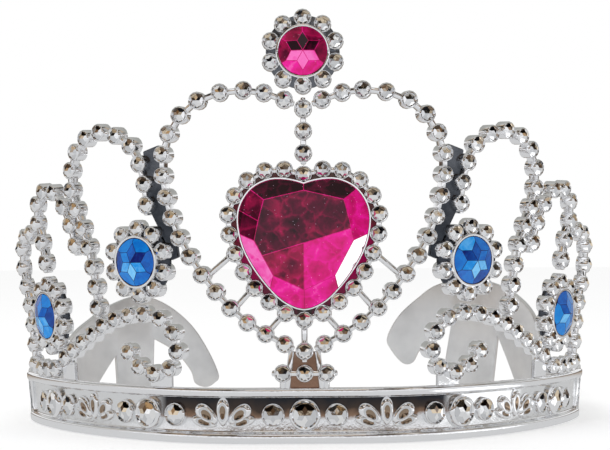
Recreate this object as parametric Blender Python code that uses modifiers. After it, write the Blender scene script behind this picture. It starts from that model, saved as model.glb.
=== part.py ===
"""A child's princess tiara, built flat and then bent to its open horseshoe plan.

The metallised plastic moulding is laid out flat, as its mould holds it: s runs along the band from
the middle, z runs up and depth d runs out of the face. wrap() then carries every point onto the plan
curve, with the walls flared. The settings of the six stones stay flat, each in the tangent plane at
its middle. Lengths are in millimetres and turned into metres where meshes are made.
The origin is on the ground below the middle of the object's own box, with the front towards -Y.
"""

from math import cos, pi, radians, sin, tan

import bmesh
import bpy
from mathutils import Matrix, Vector

MM = 0.001
GAP = 0.3  # between neighbouring solids

# Plan of the horseshoe: a straight front, then arcs of (radius, turn in degrees).
FRONT_FLAT = 11.0
PLAN_ARCS = ((41.0, 33.5), (89.0, 56.5), (49.5, 95.0))
FLARE = 5.0  # degrees, where the wall faces sideways
SLICE = 5.0  # longest chord along a bent wall

# Band
BAND_HEIGHT = 12.9
BAND_FIELD = 1.4
RAIL_DEPTH = 2.8
BOTTOM_RAIL = 2.4
TOP_RAIL = 2.0
RAIL_EASE = 0.5
FRONT_END = 26.95
SHOULDER_END = 64.5
FLEX_AT = 98.0
FLEX_GAP = 0.4

# Relief on the band
PERIOD = 37.6
STUD_RADIUS = 3.7
STUD_DEPTH = 3.5
SMALL_STUD_RADIUS = 2.8
SMALL_STUD_DEPTH = 3.0
SMALL_STUD_OFFSET = 7.4
RELIEF_Z = 6.6
PALMETTE_DEPTH = 2.7
PALMETTE_BASE_Z = 3.6
PALMETTE_PETALS = ((17, 8.0), (39, 8.2), (90, 7.1), (141, 8.2), (163, 8.0))  # direction in degrees, reach
PALMETTE_NOTCHES = ((28, 6.2), (62, 3.4), (118, 3.4), (152, 6.2))
PETAL_HALF_TURN = 7  # degrees either side of a petal's direction
PALMETTE_FOOT = ((1.6, -0.7), (6.0, -0.2))  # half widths, and heights from the base
STUD_SIDES = 12
SMALL_STUD_SIDES = 8

# Bead strings
BEAD_RADIUS = 2.0
NECK_RADIUS = 1.25
BEAD_DEPTH = 2.4  # how far the string's centre stands out
WEB_DEPTHS = (0.6, 2.0)
STRUT_RADIUS = 0.8
STRUT_DEPTH = 1.8

# Stones and settings
ROUND_STONE_RADIUS = 5.6
ROUND_RING_BEADS = 10
CIRCLE_POINTS = 40
TRAY_SIDES = 20
STONE_SIDES = 12
HEART_PAD_SIDES = 16
SEAT_CLEARANCE = 0.35
RIM_WALL = 0.65
RING_SINK = 0.45  # how far a round ring's beads run into the rim
PLATE_BACK = 0.6
PLATE_THICK = 1.2
RIM_TOP = 3.7
PAD_THICK = 0.4
GIRDLE = 1.0
ROUND_CROWN = 1.9
ROUND_SHOULDER = (0.55, 0.8)  # shares of the radius and of the crown where a round stone's facets break
ROUND_PAD_RADIUS = 2.4
HEART_CROWN = 3.0
HEART_TABLE_SHARE = 0.62
HEART_TABLE_Z = 47.5
HEART_PAD_RADIUS = 8.0
HEART_PAD_Z = 48.0
HEART_RING_BEADS = 24

TOP_SETTING_Z = 90.8
STONE_PLACES = {"inner": (38.3, 42.45), "outer": (73.2, 28.85)}

# Control points, right half, in (s, z). The bead work is drawn over a band of this height with beads of
# this radius, and is carried up or down with the sizes that the band and the beads have.
DRAWN_OVER = 12.9
DRAWN_BEAD = 2.0
# The round settings are drawn this far from their middle to the outside of their beads. A string that
# passes near one moves with its edge, so that it neither runs into it nor comes away from it.
DRAWN_REACH = 10.15
FOLLOWED_REACH = 13.0  # a control point nearer than this to a setting's middle follows the setting
HEART_STONE_HALF = ((0, 60.1), (3.4, 61.0), (7.7, 61.1), (11.8, 59.2), (14.4, 55.6), (15.1, 51.4),
                    (13.9, 45.6), (10.6, 39.6), (6.0, 34.2), (2.4, 31.9), (0, 31.3))
HEART_RING_HALF = ((0, 62.3), (6.6, 63.7), (13.1, 60.9), (17.2, 54.6), (16.9, 47.0), (13.3, 38.7),
                   (8.3, 33.1), (0, 28.7))
OUTLINE_HALF = ((2.1, 78.7), (9.0, 81.3), (17.6, 81.7), (25.7, 78.2), (30.6, 70.6), (31.5, 62.5),
                (29.3, 51.4), (25.2, 42.7), (19.5, 34.6), (13.0, 27.9), (2.4, 21.9))
OUTLINE_BEADS = 19
ARCH_A = ((35.5, 53.3), (35.9, 61.0), (39.4, 69.8), (47.9, 73.3), (55.4, 70.5), (59.4, 63.0), (57.9, 55.2),
          (54.5, 47.0), (52.6, 38.5), (51.8, 29.0))
ARCH_A_BEADS = 16
ARCH_B = ((58.3, 44.0), (60.4, 51.0), (63.4, 56.4), (68.6, 60.3), (74.0, 58.8), (77.2, 54.4), (75.7, 49.8),
          (74.0, 45.0), (73.3, 39.6))
ARCH_B_BEADS = 9
ARCH_C = ((78.6, 49.6), (84.5, 49.4), (89.6, 46.4), (90.9, 41.6), (89.3, 35.6), (86.9, 29.6), (86.2, 22.0),
          (86.2, 13.4))
ARCH_C_BEADS = 9
CURL_A = ((43.4, 22.9), (40.6, 18.9), (36.4, 16.3), (31.6, 16.9), (29.0, 20.8), (30.2, 26.3), (34.4, 29.7),
          (41.0, 29.8), (48.6, 27.8), (56.6, 23.6), (68.3, 17.7))
CURL_A_BEADS = 15
CURL_B = ((69.8, 15.9), (76.0, 15.4), (82.8, 15.4))
CURL_B_BEADS = 3
CURL_FEET = ((33.8, 5.8, 3.4), (66.6, 5.6, 4.6))  # middle, width and height of the plates under curl a

POST_Z = (64.7, 80.2)
POST_BEADS = 3
FOOT_Z = 16.3
FOOT_PITCH = 5.1
FOOT_PLATE = (0.0, 13.2, 3.4)
STRUTS = (("upper", (16.1, 44.1), (22.5, 38.6)), ("middle", (11.6, 36.4), (16.4, 31.0)),
          ("lower", (4.4, 30.5), (9.0, 25.2)))

# Rear ends: a strap that rises from the band, passes over a middle leg and ends free.
ARM_THICK = 1.6
LEG_END_Z = 0.0
ARMS = {
    "right": {
        "outer": ((143.0, BAND_HEIGHT), (150.2, 24.5), (157.0, 30.3), (164.7, 33.9), (173.0, 35.4),
                  (183.3, 33.8), (190.0, 29.2), (195.6, 23.8), (199.0, 17.2)),
        "tip": ((197.6, 13.2), (194.2, 9.4), (191.2, 9.6)),
        "inner": ((188.9, 13.5), (184.6, 17.6), (179.2, 22.0)),
        "leg_far": (182.8, 165.8),
        "crotch": (164.0, 18.6),
    },
    "left": {
        "outer": ((143.0, BAND_HEIGHT), (149.0, 19.8), (156.0, 24.0), (164.5, 28.4), (173.8, 30.9),
                  (182.0, 28.2), (189.6, 21.8), (194.8, 13.8), (198.0, 6.1)),
        "tip": ((196.6, 3.6), (194.0, 2.4), (190.8, 3.6)),
        "inner": ((189.4, 7.6), (184.8, 13.4), (178.2, 17.6)),
        "leg_far": (177.4, 165.8),
        "crotch": (165.4, 13.2),
    },
}
STRAP_FOOT = 154.0

COLOURS = {
    "silver": ((0.80, 0.81, 0.83, 1.0), 0.12, 1.0),
    "pink_stone": ((0.62, 0.01, 0.17, 1.0), 0.05, 0.3),
    "blue_stone": ((0.01, 0.12, 0.52, 1.0), 0.05, 0.3),
    "glue": ((0.75, 0.74, 0.68, 1.0), 0.5, 0.0),
}


def clear_scene():
    """Remove whatever the scene holds and make the part's own collection."""
    for old in list(bpy.data.objects):
        bpy.data.objects.remove(old, do_unlink=True)
    crown = bpy.data.collections.new("crown")
    bpy.context.scene.collection.children.link(crown)
    return crown


def material(name):
    """One Principled material for each finish."""
    if name in bpy.data.materials:
        return bpy.data.materials[name]
    made = bpy.data.materials.new(name)
    made.use_nodes = True
    shader = made.node_tree.nodes["Principled BSDF"]
    colour, roughness, metallic = COLOURS[name]
    shader.inputs["Base Color"].default_value = colour
    shader.inputs["Roughness"].default_value = roughness
    shader.inputs["Metallic"].default_value = metallic
    return made


# The bend

def plan(s):
    """(x, y, heading in radians) of the plan curve at s, in millimetres."""
    side = 1 if s >= 0 else -1
    left = abs(s)
    x = min(left, FRONT_FLAT)
    left -= x
    y = heading = 0.0
    for place, (radius, turn) in enumerate(PLAN_ARCS):
        if left <= 0:
            break
        length = radius * radians(turn)
        step = left if place == len(PLAN_ARCS) - 1 else min(left, length)
        ahead = heading + step / radius
        x += radius * (sin(ahead) - sin(heading))
        y += radius * (cos(heading) - cos(ahead))
        heading = ahead
        left -= step
    return side * x, y, side * heading


def wrap(s, z, d):
    """The bent place, in millimetres, of the flat place (s, z, d). Level edges stay level."""
    x, y, heading = plan(s)
    out = z * tan(radians(FLARE) * abs(sin(heading))) + d
    return Vector((x + sin(heading) * out, y - cos(heading) * out, z))


def centred(point):
    """Metres, in the object's frame, of a bent place in millimetres."""
    return (point - Vector((0.0, PLAN_MIDDLE, 0.0))) * MM


def tangent_frame(s, z):
    """The matrix that carries a flat setting, drawn around the origin, to (s, z)."""
    across = (wrap(s + 0.5, z, 0) - wrap(s - 0.5, z, 0)).normalized()
    rise = (wrap(s, z + 0.5, 0) - wrap(s, z - 0.5, 0)).normalized()
    back = rise.cross(across).normalized()
    up = across.cross(back)
    matrix = Matrix((across, back, up)).transposed().to_4x4()
    matrix.translation = centred(wrap(s, z, 0))
    return matrix


# Flat shapes. A flat mesh has s along X, z along Z and depth towards -Y, in metres.

def smooth_path(points, closed=False, per_span=12):
    """A Catmull-Rom curve through the points, as a fine polyline."""
    count = len(points)
    spans = count if closed else count - 1
    line = []
    for i in range(spans):
        if closed:
            four = [points[(i + k) % count] for k in (-1, 0, 1, 2)]
        else:
            four = [points[min(max(i + k, 0), count - 1)] for k in (-1, 0, 1, 2)]
        a, b, c, e = (Vector((p[0], p[1])) for p in four)
        for step in range(per_span):
            t = step / per_span
            line.append(0.5 * (2 * b + (c - a) * t + (2 * a - 5 * b + 4 * c - e) * t ** 2
                               + (3 * b - a - 3 * c + e) * t ** 3))
    if not closed:
        line.append(Vector((points[-1][0], points[-1][1])))
    return line


def even_points(line, count, closed=False):
    """Places that divide the polyline into count equal lengths."""
    if closed:
        line = line + [line[0]]
    runs = [0.0]
    for before, after in zip(line, line[1:]):
        runs.append(runs[-1] + (after - before).length)
    found, at = [], 0
    for i in range(count if closed else count + 1):
        goal = runs[-1] * i / count
        while at < len(runs) - 2 and runs[at + 1] < goal:
            at += 1
        share = (goal - runs[at]) / (runs[at + 1] - runs[at])
        found.append(line[at].lerp(line[at + 1], min(share, 1.0)))
    return found


def tube(name, points, radii, depth, closed=False):
    """A flat mesh object of a round tube through (s, z) points, with a radius at each."""
    curve = bpy.data.curves.new(name, "CURVE")
    curve.dimensions = "3D"
    curve.bevel_depth = MM
    curve.bevel_resolution = 1
    curve.use_fill_caps = True
    spline = curve.splines.new("POLY")
    spline.points.add(len(points) - 1)
    spline.use_cyclic_u = closed
    for place, (s, z), radius in zip(spline.points, points, radii):
        place.co = (s * MM, -depth * MM, z * MM, 1.0)
        place.radius = radius
    holder = bpy.data.objects.new(name, curve)
    bpy.context.scene.collection.objects.link(holder)
    graph = bpy.context.evaluated_depsgraph_get()
    mesh = bpy.data.meshes.new_from_object(holder.evaluated_get(graph))
    bpy.data.objects.remove(holder, do_unlink=True)
    bm = bmesh.new()
    bm.from_mesh(mesh)
    bmesh.ops.remove_doubles(bm, verts=bm.verts, dist=1e-6)
    bmesh.ops.recalc_face_normals(bm, faces=bm.faces)
    bm.to_mesh(mesh)
    bm.free()
    return flat_object(name, mesh)


def flat_object(name, mesh):
    """An object that shows the mesh."""
    made = bpy.data.objects.new(name, mesh)
    bpy.context.scene.collection.objects.link(made)
    return made


def ring_reach():
    """From the middle of a round setting to the outside of its beads."""
    return ROUND_STONE_RADIUS + SEAT_CLEARANCE + RIM_WALL - RING_SINK + 2 * BEAD_RADIUS


def stood_off(control):
    """The control points, with those beside a round setting or the middle beads moved with their edges."""
    wider = BEAD_RADIUS - DRAWN_BEAD
    growth = ring_reach() - DRAWN_REACH + wider
    middles = [Vector(place) for place in STONE_PLACES.values()] + [Vector((0.0, TOP_SETTING_Z))]
    moved = []
    for point in map(Vector, control):
        if 0 < point.x < 2 * DRAWN_BEAD:
            point.x += wider
        for middle in middles:
            away = point - middle
            if away.length < FOLLOWED_REACH:
                point = point + away.normalized() * growth
        moved.append(point)
    return moved


def bead_string(name, control, beads, closed=False):
    """A string of beads of one pitch along a smooth path, thin between the beads."""
    places = even_points(smooth_path(control, closed), 2 * beads, closed)
    # An open string starts and ends on a neck; a closed one starts on a bead.
    first_bead = 0 if closed else 1
    radii = [BEAD_RADIUS if i % 2 == first_bead else NECK_RADIUS for i in range(len(places))]
    return tube(name, places, radii, BEAD_DEPTH, closed)


def plate(name, outline, d_back, d_front):
    """A flat plate: the (s, z) outline pushed out from d_back to d_front."""
    bm = bmesh.new()
    corners = [bm.verts.new((s * MM, -d_back * MM, z * MM)) for s, z in outline]
    face = bm.faces.new(corners)
    pushed = bmesh.ops.extrude_face_region(bm, geom=[face])
    moved = [item for item in pushed["geom"] if isinstance(item, bmesh.types.BMVert)]
    bmesh.ops.translate(bm, verts=moved, vec=(0, -(d_front - d_back) * MM, 0))
    bmesh.ops.recalc_face_normals(bm, faces=bm.faces)
    mesh = bpy.data.meshes.new(name)
    bm.to_mesh(mesh)
    bm.free()
    return flat_object(name, mesh)


def disc(name, s, z, radius, d_back, d_front, sides):
    """A round boss on the band."""
    turns = [2 * pi * k / sides for k in range(sides)]
    ring = [(s + radius * cos(turn), z + radius * sin(turn)) for turn in turns]
    return plate(name, ring, d_back, d_front)


def turned(name, profile, steps):
    """A solid turned about its own depth axis, from a profile of (radius, depth) pairs."""
    mesh = bpy.data.meshes.new(name)
    points = [(radius * MM, -depth * MM, 0.0) for radius, depth in profile]
    mesh.from_pydata(points, [(i, i + 1) for i in range(len(points) - 1)], [])
    made = flat_object(name, mesh)
    screw = made.modifiers.new("turn", "SCREW")
    screw.axis = "Y"
    screw.steps = screw.render_steps = steps
    screw.use_merge_vertices = True
    screw.merge_threshold = 1e-5
    bake(made)
    bm = bmesh.new()
    bm.from_mesh(made.data)
    bmesh.ops.recalc_face_normals(bm, faces=bm.faces)
    bm.to_mesh(made.data)
    bm.free()
    return made


def bake(made):
    """Replace the object's mesh with what its modifiers make of it."""
    graph = bpy.context.evaluated_depsgraph_get()
    mesh = bpy.data.meshes.new_from_object(made.evaluated_get(graph))
    made.modifiers.clear()
    made.data = mesh
    return made


def join(base, others):
    """Union of overlapping solids; the others are used up."""
    for other in others:
        union = base.modifiers.new("join", "BOOLEAN")
        union.operation = "UNION"
        union.solver = "EXACT"
        union.object = other
    bake(base)
    for other in others:
        bpy.data.objects.remove(other, do_unlink=True)
    return base


def finish(crown, made, name, colour, mirrored=False, lift=0.0, frame=None):
    """Bend the flat object, or place it by a frame, and put it in the part's collection."""
    bm = bmesh.new()
    bm.from_mesh(made.data)
    if not frame:
        low = min(v.co.x for v in bm.verts) / MM
        high = max(v.co.x for v in bm.verts) / MM
        cuts = max(1, round((high - low) / SLICE)) if high - low > 1.5 * SLICE else 1
        for k in range(1, cuts):
            place = (low + (high - low) * k / cuts) * MM
            bmesh.ops.bisect_plane(bm, geom=bm.verts[:] + bm.edges[:] + bm.faces[:], dist=1e-7,
                                   plane_co=(place, 0, 0), plane_no=(1, 0, 0))
    bmesh.ops.triangulate(bm, faces=bm.faces)
    for vert in bm.verts:
        if mirrored:
            vert.co.x = -vert.co.x
        if not frame:
            vert.co = centred(wrap(vert.co.x / MM, vert.co.z / MM + lift, -vert.co.y / MM))
    if mirrored:
        bmesh.ops.reverse_faces(bm, faces=bm.faces)
    bm.to_mesh(made.data)
    bm.free()
    made.name = name
    made.data.name = name
    if frame:
        made.matrix_world = frame
    made.data.materials.clear()
    made.data.materials.append(material(colour))
    for old in list(made.users_collection):
        old.objects.unlink(made)
    crown.objects.link(made)
    return made


# Band

def band_profile():
    """(depth, z) corners of the band's section, with a rail along each edge."""
    ease = RAIL_EASE
    return ((0, 0), (RAIL_DEPTH - ease, 0), (RAIL_DEPTH, ease), (RAIL_DEPTH, BOTTOM_RAIL - ease),
            (BAND_FIELD, BOTTOM_RAIL), (BAND_FIELD, BAND_HEIGHT - TOP_RAIL),
            (RAIL_DEPTH, BAND_HEIGHT - TOP_RAIL + ease), (RAIL_DEPTH, BAND_HEIGHT - ease),
            (RAIL_DEPTH - ease, BAND_HEIGHT), (0, BAND_HEIGHT))


def band_length(name, start, end):
    """A straight length of band from s = start to s = end."""
    bm = bmesh.new()
    corners = [bm.verts.new((start * MM, -d * MM, z * MM)) for d, z in band_profile()]
    face = bm.faces.new(corners)
    pushed = bmesh.ops.extrude_face_region(bm, geom=[face])
    moved = [item for item in pushed["geom"] if isinstance(item, bmesh.types.BMVert)]
    bmesh.ops.translate(bm, verts=moved, vec=((end - start) * MM, 0, 0))
    bmesh.ops.recalc_face_normals(bm, faces=bm.faces)
    mesh = bpy.data.meshes.new(name)
    bm.to_mesh(mesh)
    bm.free()
    return flat_object(name, mesh)


def palmette(s):
    """A fan of five petals on the band, around s."""
    base = PALMETTE_BASE_Z
    foot = [(half, base + rise) for half, rise in PALMETTE_FOOT]
    outline = [(s + half, z) for half, z in foot]
    for place, (angle, reach) in enumerate(PALMETTE_PETALS):
        for turn in (-PETAL_HALF_TURN, PETAL_HALF_TURN):
            way = radians(angle + turn)
            outline.append((s + reach * cos(way), base + reach * sin(way)))
        if place < len(PALMETTE_NOTCHES):
            notch, depth = PALMETTE_NOTCHES[place]
            way = radians(notch)
            outline.append((s + depth * cos(way), base + depth * sin(way)))
    outline += [(s - half, z) for half, z in reversed(foot)]
    return plate("palmette", outline, BAND_FIELD / 2, PALMETTE_DEPTH)


def relief(start, end):
    """The studs and palmettes that fit on the band between start and end."""
    back = BAND_FIELD / 2
    made = []
    for k in range(-2, 3):
        stud = k * PERIOD
        if start < stud < end:
            made.append(disc("stud", stud, RELIEF_Z, STUD_RADIUS, back, STUD_DEPTH, STUD_SIDES))
        for side in (-1, 1):
            small = stud + side * SMALL_STUD_OFFSET
            if start < small < end:
                made.append(disc("small_stud", small, RELIEF_Z, SMALL_STUD_RADIUS, back, SMALL_STUD_DEPTH,
                                 SMALL_STUD_SIDES))
    for k in range(-2, 2):
        middle = (k + 0.5) * PERIOD
        if start < middle < end:
            made.append(palmette(middle))
    return made


def build_band(crown):
    """The decorated band: a front, two shoulders and two sides."""
    half = GAP / 2
    front = band_length("band", -FRONT_END + half, FRONT_END - half)
    finish(crown, join(front, relief(-FRONT_END, FRONT_END)), "band_front", "silver")
    for side, mirrored in (("right", False), ("left", True)):
        for name, start, end in (("shoulder", FRONT_END + half, SHOULDER_END - half),
                                 ("side", SHOULDER_END + half, FLEX_AT - FLEX_GAP / 2)):
            length = join(band_length("band", start, end), relief(start, end))
            finish(crown, length, f"band_{name}_{side}", "silver", mirrored)


def build_rear_ends(crown):
    """The plain rear ends, each with its strap and leg, parented to an empty on its flexing line."""
    for side, mirrored in (("right", False), ("left", True)):
        arm = ARMS[side]
        far, near = arm["leg_far"]
        band_end = FLEX_AT + FLEX_GAP / 2
        free_edge = smooth_path(arm["outer"] + arm["tip"] + arm["inner"], per_span=3)
        outline = [(band_end, 0.0), (STRAP_FOOT, 0.0), arm["crotch"], (near, LEG_END_Z), (far, LEG_END_Z)]
        outline += list(reversed(free_edge))
        outline.append((band_end, BAND_HEIGHT))
        rear = finish(crown, plate("rear", outline, 0.0, ARM_THICK), f"rear_end_{side}", "silver", mirrored)
        place = centred(wrap(-FLEX_AT if mirrored else FLEX_AT, 0.0, ARM_THICK / 2))
        axis = bpy.data.objects.new(f"axis_{side}", None)
        crown.objects.link(axis)
        axis.location = place
        rear.parent = axis
        rear.matrix_parent_inverse = Matrix.Translation(place).inverted()


# Bead work

def build_strings(crown):
    """The strings of beads that stand on the band, right and left."""
    strings = (("heart_outline", OUTLINE_HALF, OUTLINE_BEADS), ("arch_a", ARCH_A, ARCH_A_BEADS),
               ("arch_b", ARCH_B, ARCH_B_BEADS), ("arch_c", ARCH_C, ARCH_C_BEADS),
               ("curl_b", CURL_B, CURL_B_BEADS))
    for side, mirrored in (("right", False), ("left", True)):
        for name, control, beads in strings:
            string = bead_string(name, stood_off(control), beads)
            finish(crown, string, f"{name}_{side}", "silver", mirrored, LIFT)
        curl = bead_string("curl", stood_off(CURL_A), CURL_A_BEADS)
        curl = join(curl, [web(*foot) for foot in CURL_FEET])
        finish(crown, curl, f"curl_a_{side}", "silver", mirrored, LIFT)


def web(middle, width, height):
    """A flat plate that carries a bead string down to the band."""
    low = BAND_HEIGHT + GAP - LIFT
    high = DRAWN_OVER + GAP + height
    outline = ((middle - width / 2, low), (middle + width / 2, low), (middle + width / 2, high),
               (middle - width / 2, high))
    return plate("web", outline, *WEB_DEPTHS)


def build_middle(crown):
    """The post over the heart, the struts around it and the foot below it."""
    post_line = ((0, POST_Z[0]), (0, sum(POST_Z) / 2), (0, POST_Z[1]))
    finish(crown, bead_string("post", stood_off(post_line), POST_BEADS), "upper_post", "silver", lift=LIFT)
    reach = 1.5 * FOOT_PITCH
    row = bead_string("row", ((-reach, FOOT_Z), (0, FOOT_Z), (reach, FOOT_Z)), 3)
    low = FOOT_Z - FOOT_PITCH / 2
    stem = bead_string("stem", ((0, low), (0, low + FOOT_PITCH), (0, low + 2 * FOOT_PITCH)), 2)
    finish(crown, join(row, [stem, web(*FOOT_PLATE)]), "foot", "silver", lift=LIFT)
    for side, mirrored in (("right", False), ("left", True)):
        for name, start, end in STRUTS:
            finish(crown, strut(start, end), f"strut_{name}_{side}", "silver", mirrored, LIFT)
    stem_top = FOOT_Z + reach
    bottom = strut((0, stem_top - BEAD_RADIUS), (0, HEART_RING_HALF[-1][1]))
    finish(crown, bottom, "strut_bottom", "silver", lift=LIFT)


def strut(start, end):
    """A thin bar between two beads, given by their middles, clear of both."""
    first, last = Vector(start), Vector(end)
    way = (last - first).normalized()
    first += way * (BEAD_RADIUS + GAP)
    last -= way * (BEAD_RADIUS + GAP)
    return tube("strut", (first, last), (STRUT_RADIUS, STRUT_RADIUS), STRUT_DEPTH)


# Stones

def round_setting(crown, where, colour, s, z, mirrored=False):
    """A plate with a rim and a ring of beads, the pad that holds the stone, and the stone."""
    seat = ROUND_STONE_RADIUS + SEAT_CLEARANCE
    rim = seat + RIM_WALL
    floor = PLATE_BACK + PLATE_THICK
    tray = turned("tray", ((0, floor), (seat, floor), (seat, RIM_TOP), (rim, RIM_TOP),
                           (rim, PLATE_BACK), (0, PLATE_BACK)), TRAY_SIDES)
    around = rim + BEAD_RADIUS - RING_SINK
    turns = [2 * pi * k / CIRCLE_POINTS for k in range(CIRCLE_POINTS)]
    circle = [(around * sin(turn), around * cos(turn)) for turn in turns]
    ring = bead_string("ring", circle, ROUND_RING_BEADS, closed=True)
    frame = tangent_frame(-s if mirrored else s, z + LIFT)
    finish(crown, join(tray, [ring]), f"setting_{where}", "silver", frame=frame)
    pad_back = floor + GAP
    pad_front = pad_back + PAD_THICK
    pad = turned("pad", ((0, pad_front), (ROUND_PAD_RADIUS, pad_front), (ROUND_PAD_RADIUS, pad_back),
                         (0, pad_back)), STONE_SIDES)
    finish(crown, pad, f"glue_{where}", "glue", frame=frame)
    back = pad_front + GAP
    front = back + GIRDLE
    radius = ROUND_STONE_RADIUS
    out, up = ROUND_SHOULDER
    stone = turned("stone", ((0, front + ROUND_CROWN), (radius * out, front + ROUND_CROWN * up),
                             (radius, front), (radius, back), (0, back)), STONE_SIDES)
    finish(crown, stone, f"stone_{where}", colour, frame=frame)


def both_sides(half):
    """A closed outline from its right half, which starts and ends on the middle line."""
    return list(half) + [(-s, z) for s, z in reversed(half[1:-1])]


def grown(outline, distance):
    """The outline moved outwards by a distance."""
    count = len(outline)
    made = []
    for i, (s, z) in enumerate(outline):
        before, after = outline[i - 1], outline[(i + 1) % count]
        way = Vector((after[0] - before[0], after[1] - before[1])).normalized()
        # The outline runs clockwise, so outwards is to its left.
        made.append((s - way.y * distance, z + way.x * distance))
    return made


def heart_setting(crown):
    """The heart-shaped plate with its rim and beads, the pad and the heart stone."""
    stone_edge = both_sides(HEART_STONE_HALF)
    floor = PLATE_BACK + PLATE_THICK
    tray = plate("tray", grown(stone_edge, SEAT_CLEARANCE + RIM_WALL), PLATE_BACK, RIM_TOP)
    pocket = plate("pocket", grown(stone_edge, SEAT_CLEARANCE), floor, RIM_TOP + 1)
    cut = tray.modifiers.new("pocket", "BOOLEAN")
    cut.operation = "DIFFERENCE"
    cut.solver = "EXACT"
    cut.object = pocket
    bake(tray)
    bpy.data.objects.remove(pocket, do_unlink=True)
    ring = bead_string("ring", both_sides(HEART_RING_HALF), HEART_RING_BEADS, closed=True)
    finish(crown, join(tray, [ring]), "setting_heart", "silver", frame=front_frame())
    pad_back = floor + GAP
    pad = disc("pad", 0, HEART_PAD_Z, HEART_PAD_RADIUS, pad_back, pad_back + PAD_THICK, HEART_PAD_SIDES)
    finish(crown, pad, "glue_heart", "glue", frame=front_frame())
    back = pad_back + PAD_THICK + GAP
    stone = plate("stone", stone_edge, back, back + GIRDLE)
    bm = bmesh.new()
    bm.from_mesh(stone.data)
    front = min(bm.faces, key=lambda face: face.calc_center_median().y)
    pushed = bmesh.ops.extrude_face_region(bm, geom=[front])
    moved = [item for item in pushed["geom"] if isinstance(item, bmesh.types.BMVert)]
    bmesh.ops.delete(bm, geom=[front], context="FACES_ONLY")
    bmesh.ops.translate(bm, verts=moved, vec=(0, -HEART_CROWN * MM, 0))
    middle = HEART_TABLE_Z * MM
    for vert in moved:
        vert.co.x *= HEART_TABLE_SHARE
        vert.co.z = middle + (vert.co.z - middle) * HEART_TABLE_SHARE
    bmesh.ops.recalc_face_normals(bm, faces=bm.faces)
    bm.to_mesh(stone.data)
    bm.free()
    finish(crown, stone, "stone_heart", "pink_stone", frame=front_frame())


def front_frame():
    """The middle of the front stays flat, so the heart's pieces are only moved, not bent."""
    return Matrix.Translation(centred(Vector((0, 0, LIFT))))


def plan_middle():
    """The middle of the whole, front to back, so that the origin is below the middle of its box."""
    edges = [point for arm in ARMS.values() for point in smooth_path(arm["outer"])]
    rear = max(wrap(s, z, ARM_THICK).y for s, z in edges)
    front = -(PLATE_BACK + PLATE_THICK + 2 * GAP + PAD_THICK + GIRDLE + HEART_CROWN)
    return (rear + front) / 2


PLAN_MIDDLE = plan_middle()
LIFT = BAND_HEIGHT - DRAWN_OVER + BEAD_RADIUS - DRAWN_BEAD


def main():
    """Build every piece of the crown."""
    crown = clear_scene()
    build_band(crown)
    build_rear_ends(crown)
    build_strings(crown)
    build_middle(crown)
    heart_setting(crown)
    round_setting(crown, "top", "pink_stone", 0.0, TOP_SETTING_Z)
    for place, (s, z) in STONE_PLACES.items():
        for side, mirrored in (("right", False), ("left", True)):
            round_setting(crown, f"{place}_{side}", "blue_stone", s, z, mirrored)


main()
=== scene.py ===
"""A child's princess tiara in mirror-silver plastic with cut acrylic stones, dressed over its frame.

Flat pieces are drawn with s along X, height along Z and depth towards -Y. Each one is then bent round the
head by Plan.bend, or set flat in the tangent plane at its middle. Sizes are in millimetres until they reach
a mesh, which is in metres.
"""
import logging
import random
from dataclasses import dataclass, field
from enum import Enum
from math import atan2, cos, pi, radians, sin, tan
from typing import Callable, Sequence

import bpy
from mathutils import Matrix, Vector


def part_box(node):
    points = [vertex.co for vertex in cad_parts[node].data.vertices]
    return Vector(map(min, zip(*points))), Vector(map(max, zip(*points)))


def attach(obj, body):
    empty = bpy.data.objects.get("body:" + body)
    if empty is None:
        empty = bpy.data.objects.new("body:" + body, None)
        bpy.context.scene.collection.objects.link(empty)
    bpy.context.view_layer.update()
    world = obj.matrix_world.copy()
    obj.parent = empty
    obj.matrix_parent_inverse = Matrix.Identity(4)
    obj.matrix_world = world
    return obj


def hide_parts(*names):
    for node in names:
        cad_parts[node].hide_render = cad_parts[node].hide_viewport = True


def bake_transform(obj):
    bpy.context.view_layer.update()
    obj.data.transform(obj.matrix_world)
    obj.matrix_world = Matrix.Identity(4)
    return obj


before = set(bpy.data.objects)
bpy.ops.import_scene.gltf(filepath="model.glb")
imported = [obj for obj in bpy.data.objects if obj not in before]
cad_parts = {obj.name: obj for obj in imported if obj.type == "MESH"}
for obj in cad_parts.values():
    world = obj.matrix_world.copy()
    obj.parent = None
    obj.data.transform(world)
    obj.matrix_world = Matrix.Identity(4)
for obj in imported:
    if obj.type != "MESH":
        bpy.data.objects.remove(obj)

log = logging.getLogger("tiara")
MM = 0.001
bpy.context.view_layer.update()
Point = tuple[float, float]
Object = bpy.types.Object


class Slot(Enum):
    """The record's material slots."""

    SILVER = "silver_plastic"
    PINK = "pink_stone"
    BLUE = "blue_stone"


class Side(Enum):
    """Which half of the crown, and the sign of s on it."""

    RIGHT = 1
    LEFT = -1

    @property
    def word(self) -> str:
        """The side's name in lower case."""
        return self.name.lower()


# Bench tools

def clear_selection() -> None:
    """Leave object mode on and nothing selected."""
    if bpy.context.object and bpy.context.object.mode != "OBJECT":
        bpy.ops.object.mode_set(mode="OBJECT")
    bpy.ops.object.select_all(action="DESELECT")


def take(obj: Object) -> None:
    """Select this object alone and make it the active one.

    Args:
        obj: The object.
    """
    clear_selection()
    obj.select_set(True)
    bpy.context.view_layer.objects.active = obj


def settle(obj: Object) -> None:
    """Put the object's place, turn and scale into its mesh."""
    take(obj)
    bpy.ops.object.transform_apply(location=True, rotation=True, scale=True)


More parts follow.
